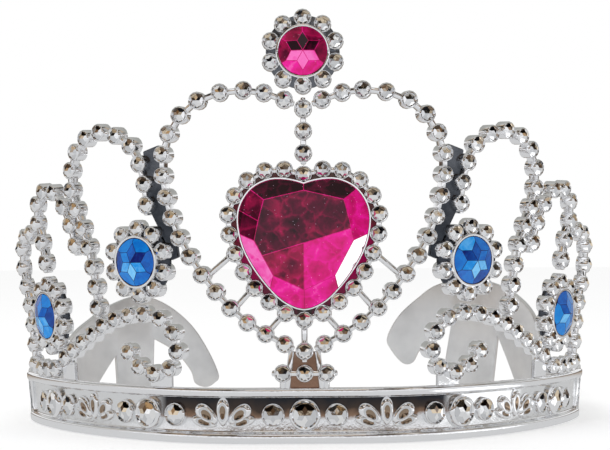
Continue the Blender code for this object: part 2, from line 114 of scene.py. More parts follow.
def pick_faces(obj: Object, test: Callable[[bpy.types.MeshPolygon], bool]) -> None:
    """Enter edit mode with only the faces that pass the test selected.

    Args:
        obj: The mesh object.
        test: Says of a face whether it is wanted.
    """
    take(obj)
    bpy.ops.object.mode_set(mode="EDIT")
    bpy.ops.mesh.select_mode(type="FACE")
    bpy.ops.mesh.select_all(action="DESELECT")
    bpy.ops.object.mode_set(mode="OBJECT")
    for face in obj.data.polygons:
        face.select = test(face)
    bpy.ops.object.mode_set(mode="EDIT")


def faces_front(face: bpy.types.MeshPolygon) -> bool:
    """True of a face that looks straight out of the front."""
    return face.normal.y < -0.99


def leave_edit() -> None:
    """Back to object mode."""
    bpy.ops.object.mode_set(mode="OBJECT")


def push(distance: float) -> None:
    """Extrude the selected faces towards the front, in millimetres; a negative distance sinks them."""
    bpy.ops.mesh.extrude_region_move(TRANSFORM_OT_translate={"value": (0, -distance * MM, 0)})


def saw(obj: Object, places: Sequence[tuple[Vector, Vector]], discard: bool) -> None:
    """Cut the mesh along planes.

    Args:
        obj: The mesh object.
        places: A point on each plane and the way that it faces.
        discard: Whether what lies on the facing side is thrown away and the cut closed.
    """
    take(obj)
    bpy.ops.object.mode_set(mode="EDIT")
    for point, way in places:
        bpy.ops.mesh.select_all(action="SELECT")
        bpy.ops.mesh.bisect(plane_co=point, plane_no=way, use_fill=discard, clear_outer=discard,
                            threshold=1e-7)
    leave_edit()


def soften(obj: Object, width: float, segments: int = 2, angle: float = 40.0) -> None:
    """Round the edges sharper than the angle, by a bevel of that width in millimetres.

    Args:
        obj: The mesh object.
        width: The bevel's width, in millimetres.
        segments: Its steps.
        angle: Edges sharper than this, in degrees, are rounded.
    """
    take(obj)
    bevel = obj.modifiers.new("ease", "BEVEL")
    bevel.width = width * MM
    bevel.segments = segments
    bevel.limit_method = "ANGLE"
    bevel.angle_limit = radians(angle)
    bpy.ops.object.modifier_apply(modifier=bevel.name)


def smooth(obj: Object, angle: float = 35.0) -> None:
    """Shade smooth, apart from edges sharper than the angle."""
    take(obj)
    bpy.ops.object.shade_smooth_by_angle(angle=radians(angle))


def copy_of(master: Object, place: Matrix) -> Object:
    """A copy with its own mesh, carried to a place.

    Args:
        master: What is copied.
        place: The turn and place of the copy, put into its mesh.

    Returns:
        The copy.
    """
    made = master.copy()
    made.data = master.data.copy()
    made.data.transform(place)
    bpy.context.scene.collection.objects.link(made)
    return made


def fuse(name: str, parts: Sequence[Object]) -> Object:
    """Join objects into one, named, and return it.

    Args:
        name: The new object's name.
        parts: The objects, which cease to be separate.

    Returns:
        The one object.
    """
    take(parts[0])
    for part in parts:
        part.select_set(True)
    if len(parts) > 1:
        bpy.ops.object.join()
    made = bpy.context.view_layer.objects.active
    made.name = name
    made.data.name = name
    return made


def scrap(obj: Object) -> None:
    """Remove a master that has served."""
    bpy.data.objects.remove(obj, do_unlink=True)


def dress(obj: Object, finish: bpy.types.Material) -> Object:
    """Give the whole object one finish.

    Args:
        obj: The object.
        finish: Its material.

    Returns:
        The same object.
    """
    obj.data.materials.clear()
    obj.data.materials.append(finish)
    return obj


def prism(name: str, outline: Sequence[Point], back: float, front: float) -> Object:
    """A flat plate: an outline in (s, z), pushed out from the back depth to the front depth.

    Args:
        name: The object's name.
        outline: Its corners in order.
        back: Depth of its back, in millimetres.
        front: Depth of its front, in millimetres.

    Returns:
        The closed plate.
    """
    clear_selection()
    bpy.ops.mesh.primitive_circle_add(vertices=len(outline), radius=MM, fill_type="NGON",
                                      rotation=(pi / 2, 0, 0))
    made = bpy.context.object
    made.name = name
    settle(made)
    turn = sum(a[0] * b[1] - b[0] * a[1] for a, b in zip(outline, list(outline[1:]) + [outline[0]]))
    corners = outline if turn > 0 else list(reversed(outline))
    ring = list(made.data.polygons[0].vertices)
    if made.data.polygons[0].normal.y > 0:
        ring.reverse()
    for index, (s, z) in zip(ring, corners):
        made.data.vertices[index].co = (s * MM, -back * MM, z * MM)
    take(made)
    bpy.ops.object.mode_set(mode="EDIT")
    bpy.ops.mesh.select_all(action="SELECT")
    push(front - back)
    bpy.ops.mesh.select_all(action="SELECT")
    bpy.ops.mesh.normals_make_consistent(inside=False)
    leave_edit()
    return made


def cylinder(name: str, radius: float, back: float, front: float, sides: int) -> Object:
    """A round plate about the depth axis, in millimetres.

    Args:
        name: The object's name.
        radius: Its radius.
        back: Depth of its back.
        front: Depth of its front.
        sides: How many sides it has.

    Returns:
        The closed plate.
    """
    clear_selection()
    bpy.ops.mesh.primitive_cylinder_add(vertices=sides, radius=radius * MM, depth=(front - back) * MM,
                                        location=(0, -(front + back) / 2 * MM, 0), rotation=(pi / 2, 0, 0))
    made = bpy.context.object
    made.name = name
    settle(made)
    return made


def smooth_path(points: Sequence[Point], closed: bool = False, per_span: int = 12) -> list[Vector]:
    """A Catmull-Rom curve through the points, as a fine polyline.

    Args:
        points: Places in (s, z).
        closed: Whether the last leads back to the first.
        per_span: Steps between two points.

    Returns:
        The polyline.
    """
    count = len(points)
    line: list[Vector] = []
    for i in range(count if closed else count - 1):
        if closed:
            four = [points[(i + k) % count] for k in (-1, 0, 1, 2)]
        else:
            four = [points[min(max(i + k, 0), count - 1)] for k in (-1, 0, 1, 2)]
        a, b, c, e = (Vector((p[0], p[1])) for p in four)
        for step in range(per_span):
            t = step / per_span
            line.append(0.5 * (2 * b + (c - a) * t + (2 * a - 5 * b + 4 * c - e) * t ** 2
                               + (3 * b - a - 3 * c + e) * t ** 3))
    if not closed:
        line.append(Vector((points[-1][0], points[-1][1])))
    return line


def even_points(line: list[Vector], count: int, closed: bool = False) -> list[Vector]:
    """Places that divide the polyline into count equal lengths.

    Args:
        line: The polyline.
        count: How many lengths.
        closed: Whether the line is a loop, whose end isn't given twice.

    Returns:
        The places in order.
    """
    if closed:
        line = line + [line[0]]
    runs = [0.0]
    for before, after in zip(line, line[1:]):
        runs.append(runs[-1] + (after - before).length)
    found: list[Vector] = []
    at = 0
    for i in range(count if closed else count + 1):
        goal = runs[-1] * i / count
        while at < len(runs) - 2 and runs[at + 1] < goal:
            at += 1
        share = (goal - runs[at]) / (runs[at + 1] - runs[at])
        found.append(line[at].lerp(line[at + 1], min(share, 1.0)))
    return found


def both_halves(half: Sequence[Point]) -> list[Point]:
    """A closed outline from its right half, which starts and ends on the middle line."""
    return list(half) + [(-s, z) for s, z in reversed(half[1:-1])]


def grown(outline: Sequence[Point], distance: float) -> list[Point]:
    """A clockwise outline moved outwards by a distance.

    Args:
        outline: Its corners.
        distance: How far each moves, in millimetres.

    Returns:
        The new corners.
    """
    made = []
    for i, (s, z) in enumerate(outline):
        before, after = outline[i - 1], outline[(i + 1) % len(outline)]
        way = Vector((after[0] - before[0], after[1] - before[1])).normalized()
        made.append((s - way.y * distance, z + way.x * distance))
    return made


# Plan

@dataclass(frozen=True)
class Plan:
    """The open horseshoe that the flat moulding is bent to."""

    front_y: float
    front_flat: float = 11.0
    arcs: tuple[Point, ...] = ((41.0, 33.5), (89.0, 56.5), (49.5, 95.0))
    flare: float = 5.0

    def at(self, s: float) -> tuple[float, float, float]:
        """The plan curve at s: x, y and heading in radians.

        Args:
            s: The way along the curve from the front, in millimetres.

        Returns:
            Its x and y, and its heading.
        """
        left = abs(s)
        x = min(left, self.front_flat)
        left -= x
        y = heading = 0.0
        for place, (radius, turn) in enumerate(self.arcs):
            if left <= 0:
                break
            last = place == len(self.arcs) - 1
            step = left if last else min(left, radius * radians(turn))
            ahead = heading + step / radius
            x += radius * (sin(ahead) - sin(heading))
            y += radius * (cos(heading) - cos(ahead))
            heading = ahead
            left -= step
        side = 1 if s >= 0 else -1
        return side * x, y, side * heading

    def place(self, s: float, z: float, d: float) -> Vector:
        """Where the flat place (s, z, d) goes, in metres. Level edges stay level.

        Args:
            s: The way along the band.
            z: The height.
            d: The depth towards the front.

        Returns:
            The place.
        """
        x, y, heading = self.at(s)
        out = z * tan(radians(self.flare) * abs(sin(heading))) + d
        return Vector((x + sin(heading) * out, y - cos(heading) * out, z)) * MM + Vector((0, self.front_y, 0))

    def seat(self, s: float, z: float) -> Matrix:
        """The turn and place that carry a piece drawn about the origin to (s, z), flat.

        Args:
            s: The way along the band.
            z: The height.

        Returns:
            The matrix.
        """
        across = (self.place(s + 0.5, z, 0) - self.place(s - 0.5, z, 0)).normalized()
        rise = (self.place(s, z + 0.5, 0) - self.place(s, z - 0.5, 0)).normalized()
        back = rise.cross(across).normalized()
        matrix = Matrix((across, back, across.cross(back))).transposed().to_4x4()
        matrix.translation = self.place(s, z, 0)
        return matrix

    def bend(self, obj: Object, side: Side = Side.RIGHT) -> Object:
        """Bend a flat right-hand mesh onto the plan; the left side is its mirror image.

        Args:
            obj: The flat object.
            side: The side that it goes to.

        Returns:
            The same object, bent.
        """
        for vert in obj.data.vertices:
            s, d, z = vert.co.x / MM, -vert.co.y / MM, vert.co.z / MM
            vert.co = self.place(s * side.value, z, d)
        if side is Side.LEFT:
            obj.data.flip_normals()
        return obj


# Finishes

class Nodes:
    """A short way to lay and wire shader nodes."""

    def __init__(self, tree: bpy.types.NodeTree) -> None:
        """Keep the tree that nodes go in."""
        self.tree = tree

    def add(self, kind: str, **settings: object) -> bpy.types.Node:
        """A node of a kind; a setting named for one of its sockets fills that socket.

        Args:
            kind: The node's type.
            settings: Its settings, and values of its sockets.

        Returns:
            The node.
        """
        node = self.tree.nodes.new(kind)
        for key, value in settings.items():
            name = key.replace("_", " ").title()
            if name in node.inputs:
                node.inputs[name].default_value = value
            else:
                setattr(node, key, value)
        return node

    def wire(self, start: bpy.types.NodeSocket, end: bpy.types.NodeSocket) -> None:
        """Join two sockets."""
        self.tree.links.new(start, end)

    def ramp(self, factor: bpy.types.NodeSocket, stops: Sequence[tuple[float, Sequence[float]]]
             ) -> bpy.types.NodeSocket:
        """A colour ramp with these stops, fed by a factor.

        Args:
            factor: What runs along the ramp.
            stops: Each stop's place and colour.

        Returns:
            The colour.
        """
        node = self.add("ShaderNodeValToRGB")
        band = node.color_ramp
        while len(band.elements) < len(stops):
            band.elements.new(1.0)
        for element, (place, colour) in zip(band.elements, stops):
            element.position = place
            element.color = (*colour, 1.0)
        self.wire(factor, node.inputs["Fac"])
        return node.outputs["Color"]

    def sum(self, first: bpy.types.NodeSocket, second: bpy.types.NodeSocket, scale: float
            ) -> bpy.types.NodeSocket:
        """first times scale, plus second.

        Args:
            first: What is scaled.
            second: What is added.
            scale: The scale.

        Returns:
            The sum.
        """
        node = self.add("ShaderNodeMath", operation="MULTIPLY_ADD")
        self.wire(first, node.inputs[0])
        node.inputs[1].default_value = scale
        self.wire(second, node.inputs[2])
        return node.outputs[0]


def mottle_group() -> bpy.types.NodeTree:
    """The unevenness that every moulded surface here has: a soft cloud, fine grain and their height.

    Returns:
        A group with Scale in, and Cloud, Grain and Height out.
    """
    if "mottle" in bpy.data.node_groups:
        return bpy.data.node_groups["mottle"]
    tree = bpy.data.node_groups.new("mottle", "ShaderNodeTree")
    tree.interface.new_socket("Scale", in_out="INPUT", socket_type="NodeSocketFloat")
    for name in ("Cloud", "Grain", "Height"):
        tree.interface.new_socket(name, in_out="OUTPUT", socket_type="NodeSocketFloat")
    nodes = Nodes(tree)
    source = nodes.add("NodeGroupInput")
    result = nodes.add("NodeGroupOutput")
    where = nodes.add("ShaderNodeTexCoord")
    cloud = nodes.add("ShaderNodeTexNoise", detail=3.0, roughness=0.55)
    grain = nodes.add("ShaderNodeTexNoise", scale=2600.0, detail=2.0)
    nodes.wire(where.outputs["Object"], cloud.inputs["Vector"])
    nodes.wire(where.outputs["Object"], grain.inputs["Vector"])
    nodes.wire(source.outputs["Scale"], cloud.inputs["Scale"])
    height = nodes.sum(grain.outputs["Fac"], cloud.outputs["Fac"], 0.15)
    nodes.wire(cloud.outputs["Fac"], result.inputs["Cloud"])
    nodes.wire(grain.outputs["Fac"], result.inputs["Grain"])
    nodes.wire(height, result.inputs["Height"])
    return tree


def lay_mottle(nodes: Nodes, scale: float) -> bpy.types.Node:
    """Place the mottle group with its own scale.

    Args:
        nodes: The material's tree.
        scale: Clouds in a metre.

    Returns:
        The group's node.
    """
    node = nodes.add("ShaderNodeGroup")
    node.node_tree = mottle_group()
    node.inputs["Scale"].default_value = scale
    return node


def new_finish(name: str) -> tuple[bpy.types.Material, Nodes, bpy.types.Node]:
    """An empty material, its tree and its Principled shader.

    Args:
        name: The material's name.

    Returns:
        The material, its tree and its Principled shader.
    """
    made = bpy.data.materials.new(name)
    made.use_nodes = True
    return made, Nodes(made.node_tree), made.node_tree.nodes["Principled BSDF"]


def set_bump(nodes: Nodes, shader: bpy.types.Node, height: bpy.types.NodeSocket, strength: float,
             distance: float) -> None:
    """Feed a height to the shader's normal.

    Args:
        nodes: The material's tree.
        shader: Its Principled shader.
        height: The height.
        strength: How strongly it shows.
        distance: What a height of 1 stands for, in metres.
    """
    bump = nodes.add("ShaderNodeBump", strength=strength, distance=distance)
    nodes.wire(height, bump.inputs["Height"])
    nodes.wire(bump.outputs["Normal"], shader.inputs["Normal"])


def range_of(nodes: Nodes, value: bpy.types.NodeSocket, low: float, high: float, start: float = 0.0,
             end: float = 1.0) -> bpy.types.NodeSocket:
    """Carry a value from start..end to low..high.

    Args:
        nodes: The tree.
        value: The value.
        low: What start becomes.
        high: What end becomes.
        start: The least value.
        end: The greatest value.

    Returns:
        The carried value, kept within low..high.
    """
    node = nodes.add("ShaderNodeMapRange")
    nodes.wire(value, node.inputs["Value"])
    node.inputs["From Min"].default_value = start
    node.inputs["From Max"].default_value = end
    node.inputs["To Min"].default_value = low
    node.inputs["To Max"].default_value = high
    return node.outputs["Result"]


@dataclass(frozen=True)
class MirrorSilver:
    """Vacuum-metallised plastic. A face's tone paints a reflection into its colour: whites, greys, tans,
    browns and blacks.
    """

    name: str = "mirror_silver"
    stops: tuple = ((0.0, (0.93, 0.935, 0.95)), (0.3, (0.97, 0.97, 0.97)), (0.45, (0.72, 0.73, 0.75)),
                    (0.6, (0.78, 0.66, 0.50)), (0.8, (0.30, 0.22, 0.16)), (1.0, (0.02, 0.02, 0.024)))
    rough: Point = (0.04, 0.13)

    def make(self) -> bpy.types.Material:
        """Build the material.

        Returns:
            The material.
        """
        made, nodes, shader = new_finish(self.name)
        shader.inputs["Metallic"].default_value = 1.0
        mottle = lay_mottle(nodes, 420.0)
        tone = nodes.add("ShaderNodeAttribute", attribute_name="tone")
        colour = nodes.ramp(tone.outputs["Fac"], self.stops)
        nodes.wire(colour, shader.inputs["Base Color"])
        nodes.wire(range_of(nodes, mottle.outputs["Cloud"], *self.rough), shader.inputs["Roughness"])
        set_bump(nodes, shader, mottle.outputs["Height"], 0.35, 0.00012)
        return made


@dataclass(frozen=True)
class RecessSilver:
    """Metallised plastic deep between raised work, its colour painted with the dark that it mirrors in its
    own hollows.

    Painted light falls on its lower part, and painted shade in browns and blacks gathers in patches above.
    """

    name: str
    stops: tuple
    low: float
    high: float
    patch: float = 0.5
    reach: Point = (200.0, 300.0)
    pale: tuple = (0.86, 0.87, 0.88)

    def make(self) -> bpy.types.Material:
        """Build the material, which darkens between the heights low and high.

        Returns:
            The material; sideways of the reach, in millimetres, it is pale all over.
        """
        made, nodes, shader = new_finish(self.name)
        shader.inputs["Metallic"].default_value = 1.0
        mottle = lay_mottle(nodes, 210.0)
        where = nodes.add("ShaderNodeTexCoord")
        split = nodes.add("ShaderNodeSeparateXYZ")
        nodes.wire(where.outputs["Object"], split.inputs["Vector"])
        rise = nodes.add("ShaderNodeMapRange")
        nodes.wire(split.outputs["Z"], rise.inputs["Value"])
        rise.inputs["From Min"].default_value = self.low * MM
        rise.inputs["From Max"].default_value = self.high * MM
        rise.inputs["To Min"].default_value = -self.patch / 2
        rise.inputs["To Max"].default_value = 1.0 - self.patch / 2
        shade = nodes.sum(mottle.outputs["Cloud"], rise.outputs["Result"], self.patch)
        side = nodes.add("ShaderNodeMath", operation="ABSOLUTE")
        nodes.wire(split.outputs["X"], side.inputs[0])
        beyond = nodes.add("ShaderNodeMapRange")
        nodes.wire(side.outputs[0], beyond.inputs["Value"])
        beyond.inputs["From Min"].default_value = self.reach[0] * MM
        beyond.inputs["From Max"].default_value = self.reach[1] * MM
        mix = nodes.add("ShaderNodeMix", data_type="RGBA")
        nodes.wire(beyond.outputs["Result"], mix.inputs["Factor"])
        nodes.wire(nodes.ramp(shade, self.stops), mix.inputs[6])
        mix.inputs[7].default_value = (*self.pale, 1.0)
        nodes.wire(mix.outputs[2], shader.inputs["Base Color"])
        nodes.wire(range_of(nodes, mottle.outputs["Grain"], 0.1, 0.24), shader.inputs["Roughness"])
        set_bump(nodes, shader, mottle.outputs["Height"], 0.5, 0.0003)
        return made


@dataclass(frozen=True)
class SatinSilver:
    """The softer metallising of the plain rear ends, with faint clouds."""

    name: str = "satin_silver"
    stops: tuple = ((0.3, (0.74, 0.75, 0.76)), (0.55, (0.88, 0.89, 0.90)), (0.75, (0.96, 0.97, 0.97)))

    def make(self) -> bpy.types.Material:
        """Build the material.

        Returns:
            The material.
        """
        made, nodes, shader = new_finish(self.name)
        shader.inputs["Metallic"].default_value = 0.85
        mottle = lay_mottle(nodes, 90.0)
        nodes.wire(nodes.ramp(mottle.outputs["Cloud"], self.stops), shader.inputs["Base Color"])
        nodes.wire(range_of(nodes, mottle.outputs["Grain"], 0.3, 0.44), shader.inputs["Roughness"])
        set_bump(nodes, shader, mottle.outputs["Height"], 0.25, 0.0003)
        return made


@dataclass(frozen=True)
class CutStone:
    """Foil-backed acrylic: each facet's tone paints its reflection and shade into the colour, with clouds,
    crazing and painted glints in it.
    """

    name: str
    stops: tuple
    cloud: float
    craze: float
    painted_glint: float
    cell: float = 260.0

    def make(self) -> bpy.types.Material:
        """Build the material.

        Returns:
            The material.
        """
        made, nodes, shader = new_finish(self.name)
        shader.inputs["Specular IOR Level"].default_value = 0.15
        shader.inputs["Coat Weight"].default_value = 0.35
        shader.inputs["Coat Roughness"].default_value = 0.02
        mottle = lay_mottle(nodes, self.cell)
        where = nodes.add("ShaderNodeTexCoord")
        craze = nodes.add("ShaderNodeTexVoronoi", feature="DISTANCE_TO_EDGE", scale=self.cell * 0.9)
        painted_glint = nodes.add("ShaderNodeTexVoronoi", scale=self.cell * 4.0)
        bent = nodes.add("ShaderNodeVectorMath", operation="MULTIPLY_ADD")
        nodes.wire(mottle.outputs["Cloud"], bent.inputs[0])
        bent.inputs[1].default_value = (0.004, 0.004, 0.004)
        nodes.wire(where.outputs["Object"], bent.inputs[2])
        nodes.wire(bent.outputs[0], craze.inputs["Vector"])
        nodes.wire(where.outputs["Object"], painted_glint.inputs["Vector"])
        tone = nodes.add("ShaderNodeAttribute", attribute_name="tone")
        cloud = range_of(nodes, mottle.outputs["Cloud"], -self.cloud, self.cloud, start=0.3, end=0.7)
        clouded = nodes.sum(cloud, tone.outputs["Fac"], 1.0)
        vein = range_of(nodes, craze.outputs["Distance"], self.craze, 0.0, end=0.12)
        crazed = nodes.sum(vein, clouded, 1.0)
        spot = range_of(nodes, painted_glint.outputs["Distance"], 1.0, 0.0, end=self.painted_glint)
        # Painted glints: small pink-white spots mixed into the colour.
        glint = nodes.add("ShaderNodeMix", data_type="RGBA")
        nodes.wire(spot, glint.inputs["Factor"])
        nodes.wire(nodes.ramp(crazed, self.stops), glint.inputs[6])
        glint.inputs[7].default_value = (0.95, 0.62, 0.85, 1.0)
        # Past tone 1.05 a facet turns near white and metallic: a mirror painted in for the glare highlight.
        glare_mirror = range_of(nodes, tone.outputs["Fac"], 0.0, 0.95, start=1.05, end=1.15)
        glare_white = nodes.add("ShaderNodeMix", data_type="RGBA")
        nodes.wire(glare_mirror, glare_white.inputs["Factor"])
        nodes.wire(glint.outputs[2], glare_white.inputs[6])
        glare_white.inputs[7].default_value = (1.0, 0.98, 1.0, 1.0)
        nodes.wire(glare_white.outputs[2], shader.inputs["Base Color"])
        nodes.wire(glare_mirror, shader.inputs["Metallic"])
        nodes.wire(range_of(nodes, mottle.outputs["Cloud"], 0.06, 0.2), shader.inputs["Roughness"])
        set_bump(nodes, shader, mottle.outputs["Grain"], 0.05, 0.00005)
        return made


@dataclass(frozen=True)
class SetGlue:
    """Cloudy set adhesive."""

    name: str = "set_glue"

    def make(self) -> bpy.types.Material:
        """Build the material.

        Returns:
            The material.
        """
        made, nodes, shader = new_finish(self.name)
        mottle = lay_mottle(nodes, 500.0)
        stops = ((0.3, (0.62, 0.60, 0.50)), (0.7, (0.80, 0.79, 0.73)))
        nodes.wire(nodes.ramp(mottle.outputs["Cloud"], stops), shader.inputs["Base Color"])
        nodes.wire(range_of(nodes, mottle.outputs["Grain"], 0.35, 0.6), shader.inputs["Roughness"])
        return made


@dataclass
class Finishes:
    """Every finish on the crown, made once."""

    mirror: bpy.types.Material = field(default_factory=lambda: MirrorSilver().make())
    # Painted shade and reflection: the band field, the dark webs and skirts, the foot plate's browns and the
    # heart's crimson skirt have it in their colour.
    hollow: bpy.types.Material = field(default_factory=lambda: RecessSilver(
        "band_field", ((0.0, (0.97, 0.97, 0.98)), (0.40, (0.86, 0.87, 0.89)), (0.50, (0.30, 0.19, 0.13)),
                       (0.66, (0.08, 0.06, 0.05)), (1.0, (0.03, 0.032, 0.038))), 2.4, 10.5, 0.5,
        (32.5, 36.0)).make())
    web: bpy.types.Material = field(default_factory=lambda: RecessSilver(
        "dark_web", ((0.0, (0.10, 0.11, 0.13)), (0.5, (0.045, 0.05, 0.06)), (1.0, (0.16, 0.17, 0.19))),
        20.0, 80.0, 0.8).make())
    brown: bpy.types.Material = field(default_factory=lambda: RecessSilver(
        "brown_web", ((0.0, (0.34, 0.20, 0.14)), (0.5, (0.22, 0.13, 0.09)), (1.0, (0.44, 0.32, 0.25))),
        12.0, 26.0, 0.9).make())
    rose: bpy.types.Material = field(default_factory=lambda: RecessSilver(
        "rose_hollow", ((0.0, (0.05, 0.04, 0.04)), (0.45, (0.30, 0.004, 0.07)), (0.6, (0.12, 0.02, 0.03)),
                        (1.0, (0.09, 0.07, 0.06))), 28.0, 64.0, 0.9).make())
    satin: bpy.types.Material = field(default_factory=lambda: SatinSilver().make())
    pink: bpy.types.Material = field(default_factory=lambda: CutStone(
        "pink_acrylic", ((0.0, (0.015, 0.001, 0.005)), (0.18, (0.09, 0.001, 0.022)),
                         (0.38, (0.34, 0.004, 0.06)), (0.58, (0.68, 0.004, 0.18)),
                         (0.78, (0.92, 0.008, 0.36)), (1.0, (1.0, 0.18, 0.58))),
        cloud=0.16, craze=0.12, painted_glint=0.10).make())
    blue: bpy.types.Material = field(default_factory=lambda: CutStone(
        "blue_acrylic", ((0.0, (0.004, 0.003, 0.03)), (0.25, (0.006, 0.016, 0.16)),
                         (0.5, (0.005, 0.12, 0.52)), (0.75, (0.008, 0.28, 0.78)),
                         (1.0, (0.22, 0.62, 1.0))),
        cloud=0.07, craze=0.05, painted_glint=0.0, cell=420.0).make())
    glue: bpy.types.Material = field(default_factory=lambda: SetGlue().make())


# Studs and beads

@dataclass(frozen=True)
class Stud:
    """A short round stud: a smooth wall, a thin raised collar, and a dome cut like a stone inside it."""

    radius: float
    back: float
    shoulder: float
    rim: float
    top: float
    collar: float
    sides: int = 14
    facets: int = 6
    # Each step of the collar: its share of the collar's width, and of the rim's rise.
    COLLAR_STEPS = ((0.35, 0.7), (0.3, 0.3), (0.35, -0.9))
    # Painted reflections for the dome's facets: mostly tans and blacks for those facing up, silver, whites
    # and greys for those facing down.
    UPPER_TONES = (0.6, 0.62, 0.6, 0.8, 1.0, 0.92, 0.3, 0.45)
    LOWER_TONES = (0.0, 0.3, 0.42, 0.45)

    def master(self, name: str) -> Object:
        """Model the stud once, about the origin; the dome's facets carry a tone of 1 and the rest 0.

        Args:
            name: The object's name.

        Returns:
            The stud, which faces the front.
        """
        rise = self.rim - self.shoulder
        wall = cylinder("wall", self.radius, self.back, self.shoulder, self.sides)
        pick_faces(wall, faces_front)
        for width, height in self.COLLAR_STEPS:
            bpy.ops.mesh.inset(thickness=self.collar * width * MM, depth=rise * height * MM)
        leave_edit()
        smooth(wall, 50)
        inner = self.radius - self.collar
        seat = self.shoulder + 0.05
        dome = cylinder("dome", inner, self.shoulder - 0.2, self.top, self.sides)
        girdle = inner / 2
        slope = (self.top - seat) / (1.5 * inner)
        edge_drop = slope * cos(pi / self.facets) * girdle
        planes = []
        for k in range(self.facets):
            planes.append(self.facet(2 * pi * (k + 0.5) / self.facets, 0.0, self.top, slope))
            planes.append(self.facet(2 * pi * k / self.facets, girdle, self.top - edge_drop, 2 * slope))
        saw(dome, planes, discard=True)
        with_tone(wall)
        with_tone(dome, 1.0)
        return fuse(name, [wall, dome])

    @staticmethod
    def facet(turn: float, radius: float, depth: float, slope: float) -> tuple[Vector, Vector]:
        """The plane of one facet: a point on it and the way it faces.

        Args:
            turn: The way it faces, round the axis, in radians.
            radius: How far out its point is.
            depth: The depth of its point.
            slope: How steeply it falls outwards.

        Returns:
            The point and the normal.
        """
        out = Vector((cos(turn), 0, sin(turn)))
        point = out * radius * MM + Vector((0, -depth * MM, 0))
        return point, (out * slope + Vector((0, -1, 0))).normalized()

    def tint(self, obj: Object, dice: random.Random) -> None:
        """Paint a reflection into each cut facet by the way it faces: tans and blacks above, whites and greys
        below.

        Args:
            obj: The stud, in its place.
            dice: Picks the tones.
        """
        tones = obj.data.attributes["tone"].data
        for face, tone in zip(obj.data.polygons, tones):
            if tone.value > 0.5:
                tone.value = dice.choice(self.UPPER_TONES if face.normal.z > 0.08 else self.LOWER_TONES)


def with_tone(obj: Object, tone: float = 0.0) -> Object:
    """Give every face of a piece the same tone.

    Args:
        obj: The piece.
        tone: The tone that its material reads.

    Returns:
        The same piece.
    """
    made = obj.data.attributes.get("tone") or obj.data.attributes.new("tone", "FLOAT", "FACE")
    made.data.foreach_set("value", [tone] * len(obj.data.polygons))
    return obj


@dataclass
class Workbench:
    """What every sub-assembly shares: the plan, the finishes, and the masters that are copied."""

    plan: Plan
    finishes: Finishes
    dice: random.Random = field(default_factory=lambda: random.Random(7))
    bead: Stud = Stud(2.1, 0.45, 3.2, 3.6, 4.35, 0.48)
    neck_size: tuple[float, float, float] = (3.4, 2.4, 1.3)
    neck_depth: float = 1.9

    def __post_init__(self) -> None:
        """Model the bead and the neck."""
        self.bead_master = dress(self.bead.master("bead"), self.finishes.mirror)
        clear_selection()
        bpy.ops.mesh.primitive_cube_add(size=MM)
        neck = bpy.context.object
        neck.name = "neck"
        neck.scale = self.neck_size
        settle(neck)
        soften(neck, 0.4)
        smooth(neck)
        self.neck_master = dress(with_tone(neck), self.finishes.mirror)

    def add_bead(self, place: Matrix) -> Object:
        """One more bead, its facets painted with reflections of their own.

        Args:
            place: Where it goes.

        Returns:
            The bead.
        """
        made = copy_of(self.bead_master, Matrix.Identity(4))
        self.bead.tint(made, self.dice)
        made.data.transform(place)
        return made

    def add_neck(self, place: Matrix, start: Vector, end: Vector) -> Object:
        """A neck between two (s, z) points; place carries their middle to the crown.

        Args:
            place: The turn and place of its middle.
            start: One bead's place.
            end: The next bead's place.

        Returns:
            The neck.
        """
        run = end - start
        stretch = run.length / self.neck_size[0]
        lie = (Matrix.Translation((0, -self.neck_depth * MM, 0))
               @ Matrix.Rotation(-atan2(run.y, run.x), 4, "Y") @ Matrix.Diagonal((stretch, 1, 1, 1)))
        return copy_of(self.neck_master, place @ lie)

    def deliver(self, obj: Object, body: str, nodes: Sequence[str] = ()) -> Object:
        """Let the piece ride and what it stands for, and report it.

        Args:
            obj: The piece.
            body: The body that it rides.
            nodes: The CAD nodes that it takes the place of.

        Returns:
            The same piece.
        """
        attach(obj, body)
        if nodes:
            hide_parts(*nodes)
        log.info("%s: %d faces", obj.name, len(obj.data.polygons))
        return obj

    def clear(self) -> None:
        """Put the masters away."""
        scrap(self.bead_master)
        scrap(self.neck_master)


# Strings of beads

@dataclass(frozen=True)
class Strand:
    """A string of beads along a curve, in (s, z) of the right half."""

    node: str
    points: tuple[Point, ...]
    beads: int

    def stops(self) -> list[Vector]:
        """The necks and beads by turns, starting and ending on a neck."""
        return even_points(smooth_path(self.points), 2 * self.beads)

    def build(self, bench: Workbench, side: Side) -> list[Object]:
        """Set out the beads, bent round the crown.

        Args:
            bench: The shared bench.
            side: The side it is on.

        Returns:
            The beads and necks.
        """
        stops = [Vector((p.x * side.value, p.y)) for p in self.stops()]
        parts = [bench.add_bead(bench.plan.seat(*p)) for p in stops[1::2]]
        chain = [stops[0]] + stops[1::2] + [stops[-1]]
        for start, end in zip(chain, chain[1:]):
            parts.append(bench.add_neck(bench.plan.seat(*((start + end) / 2)), start, end))
        return parts


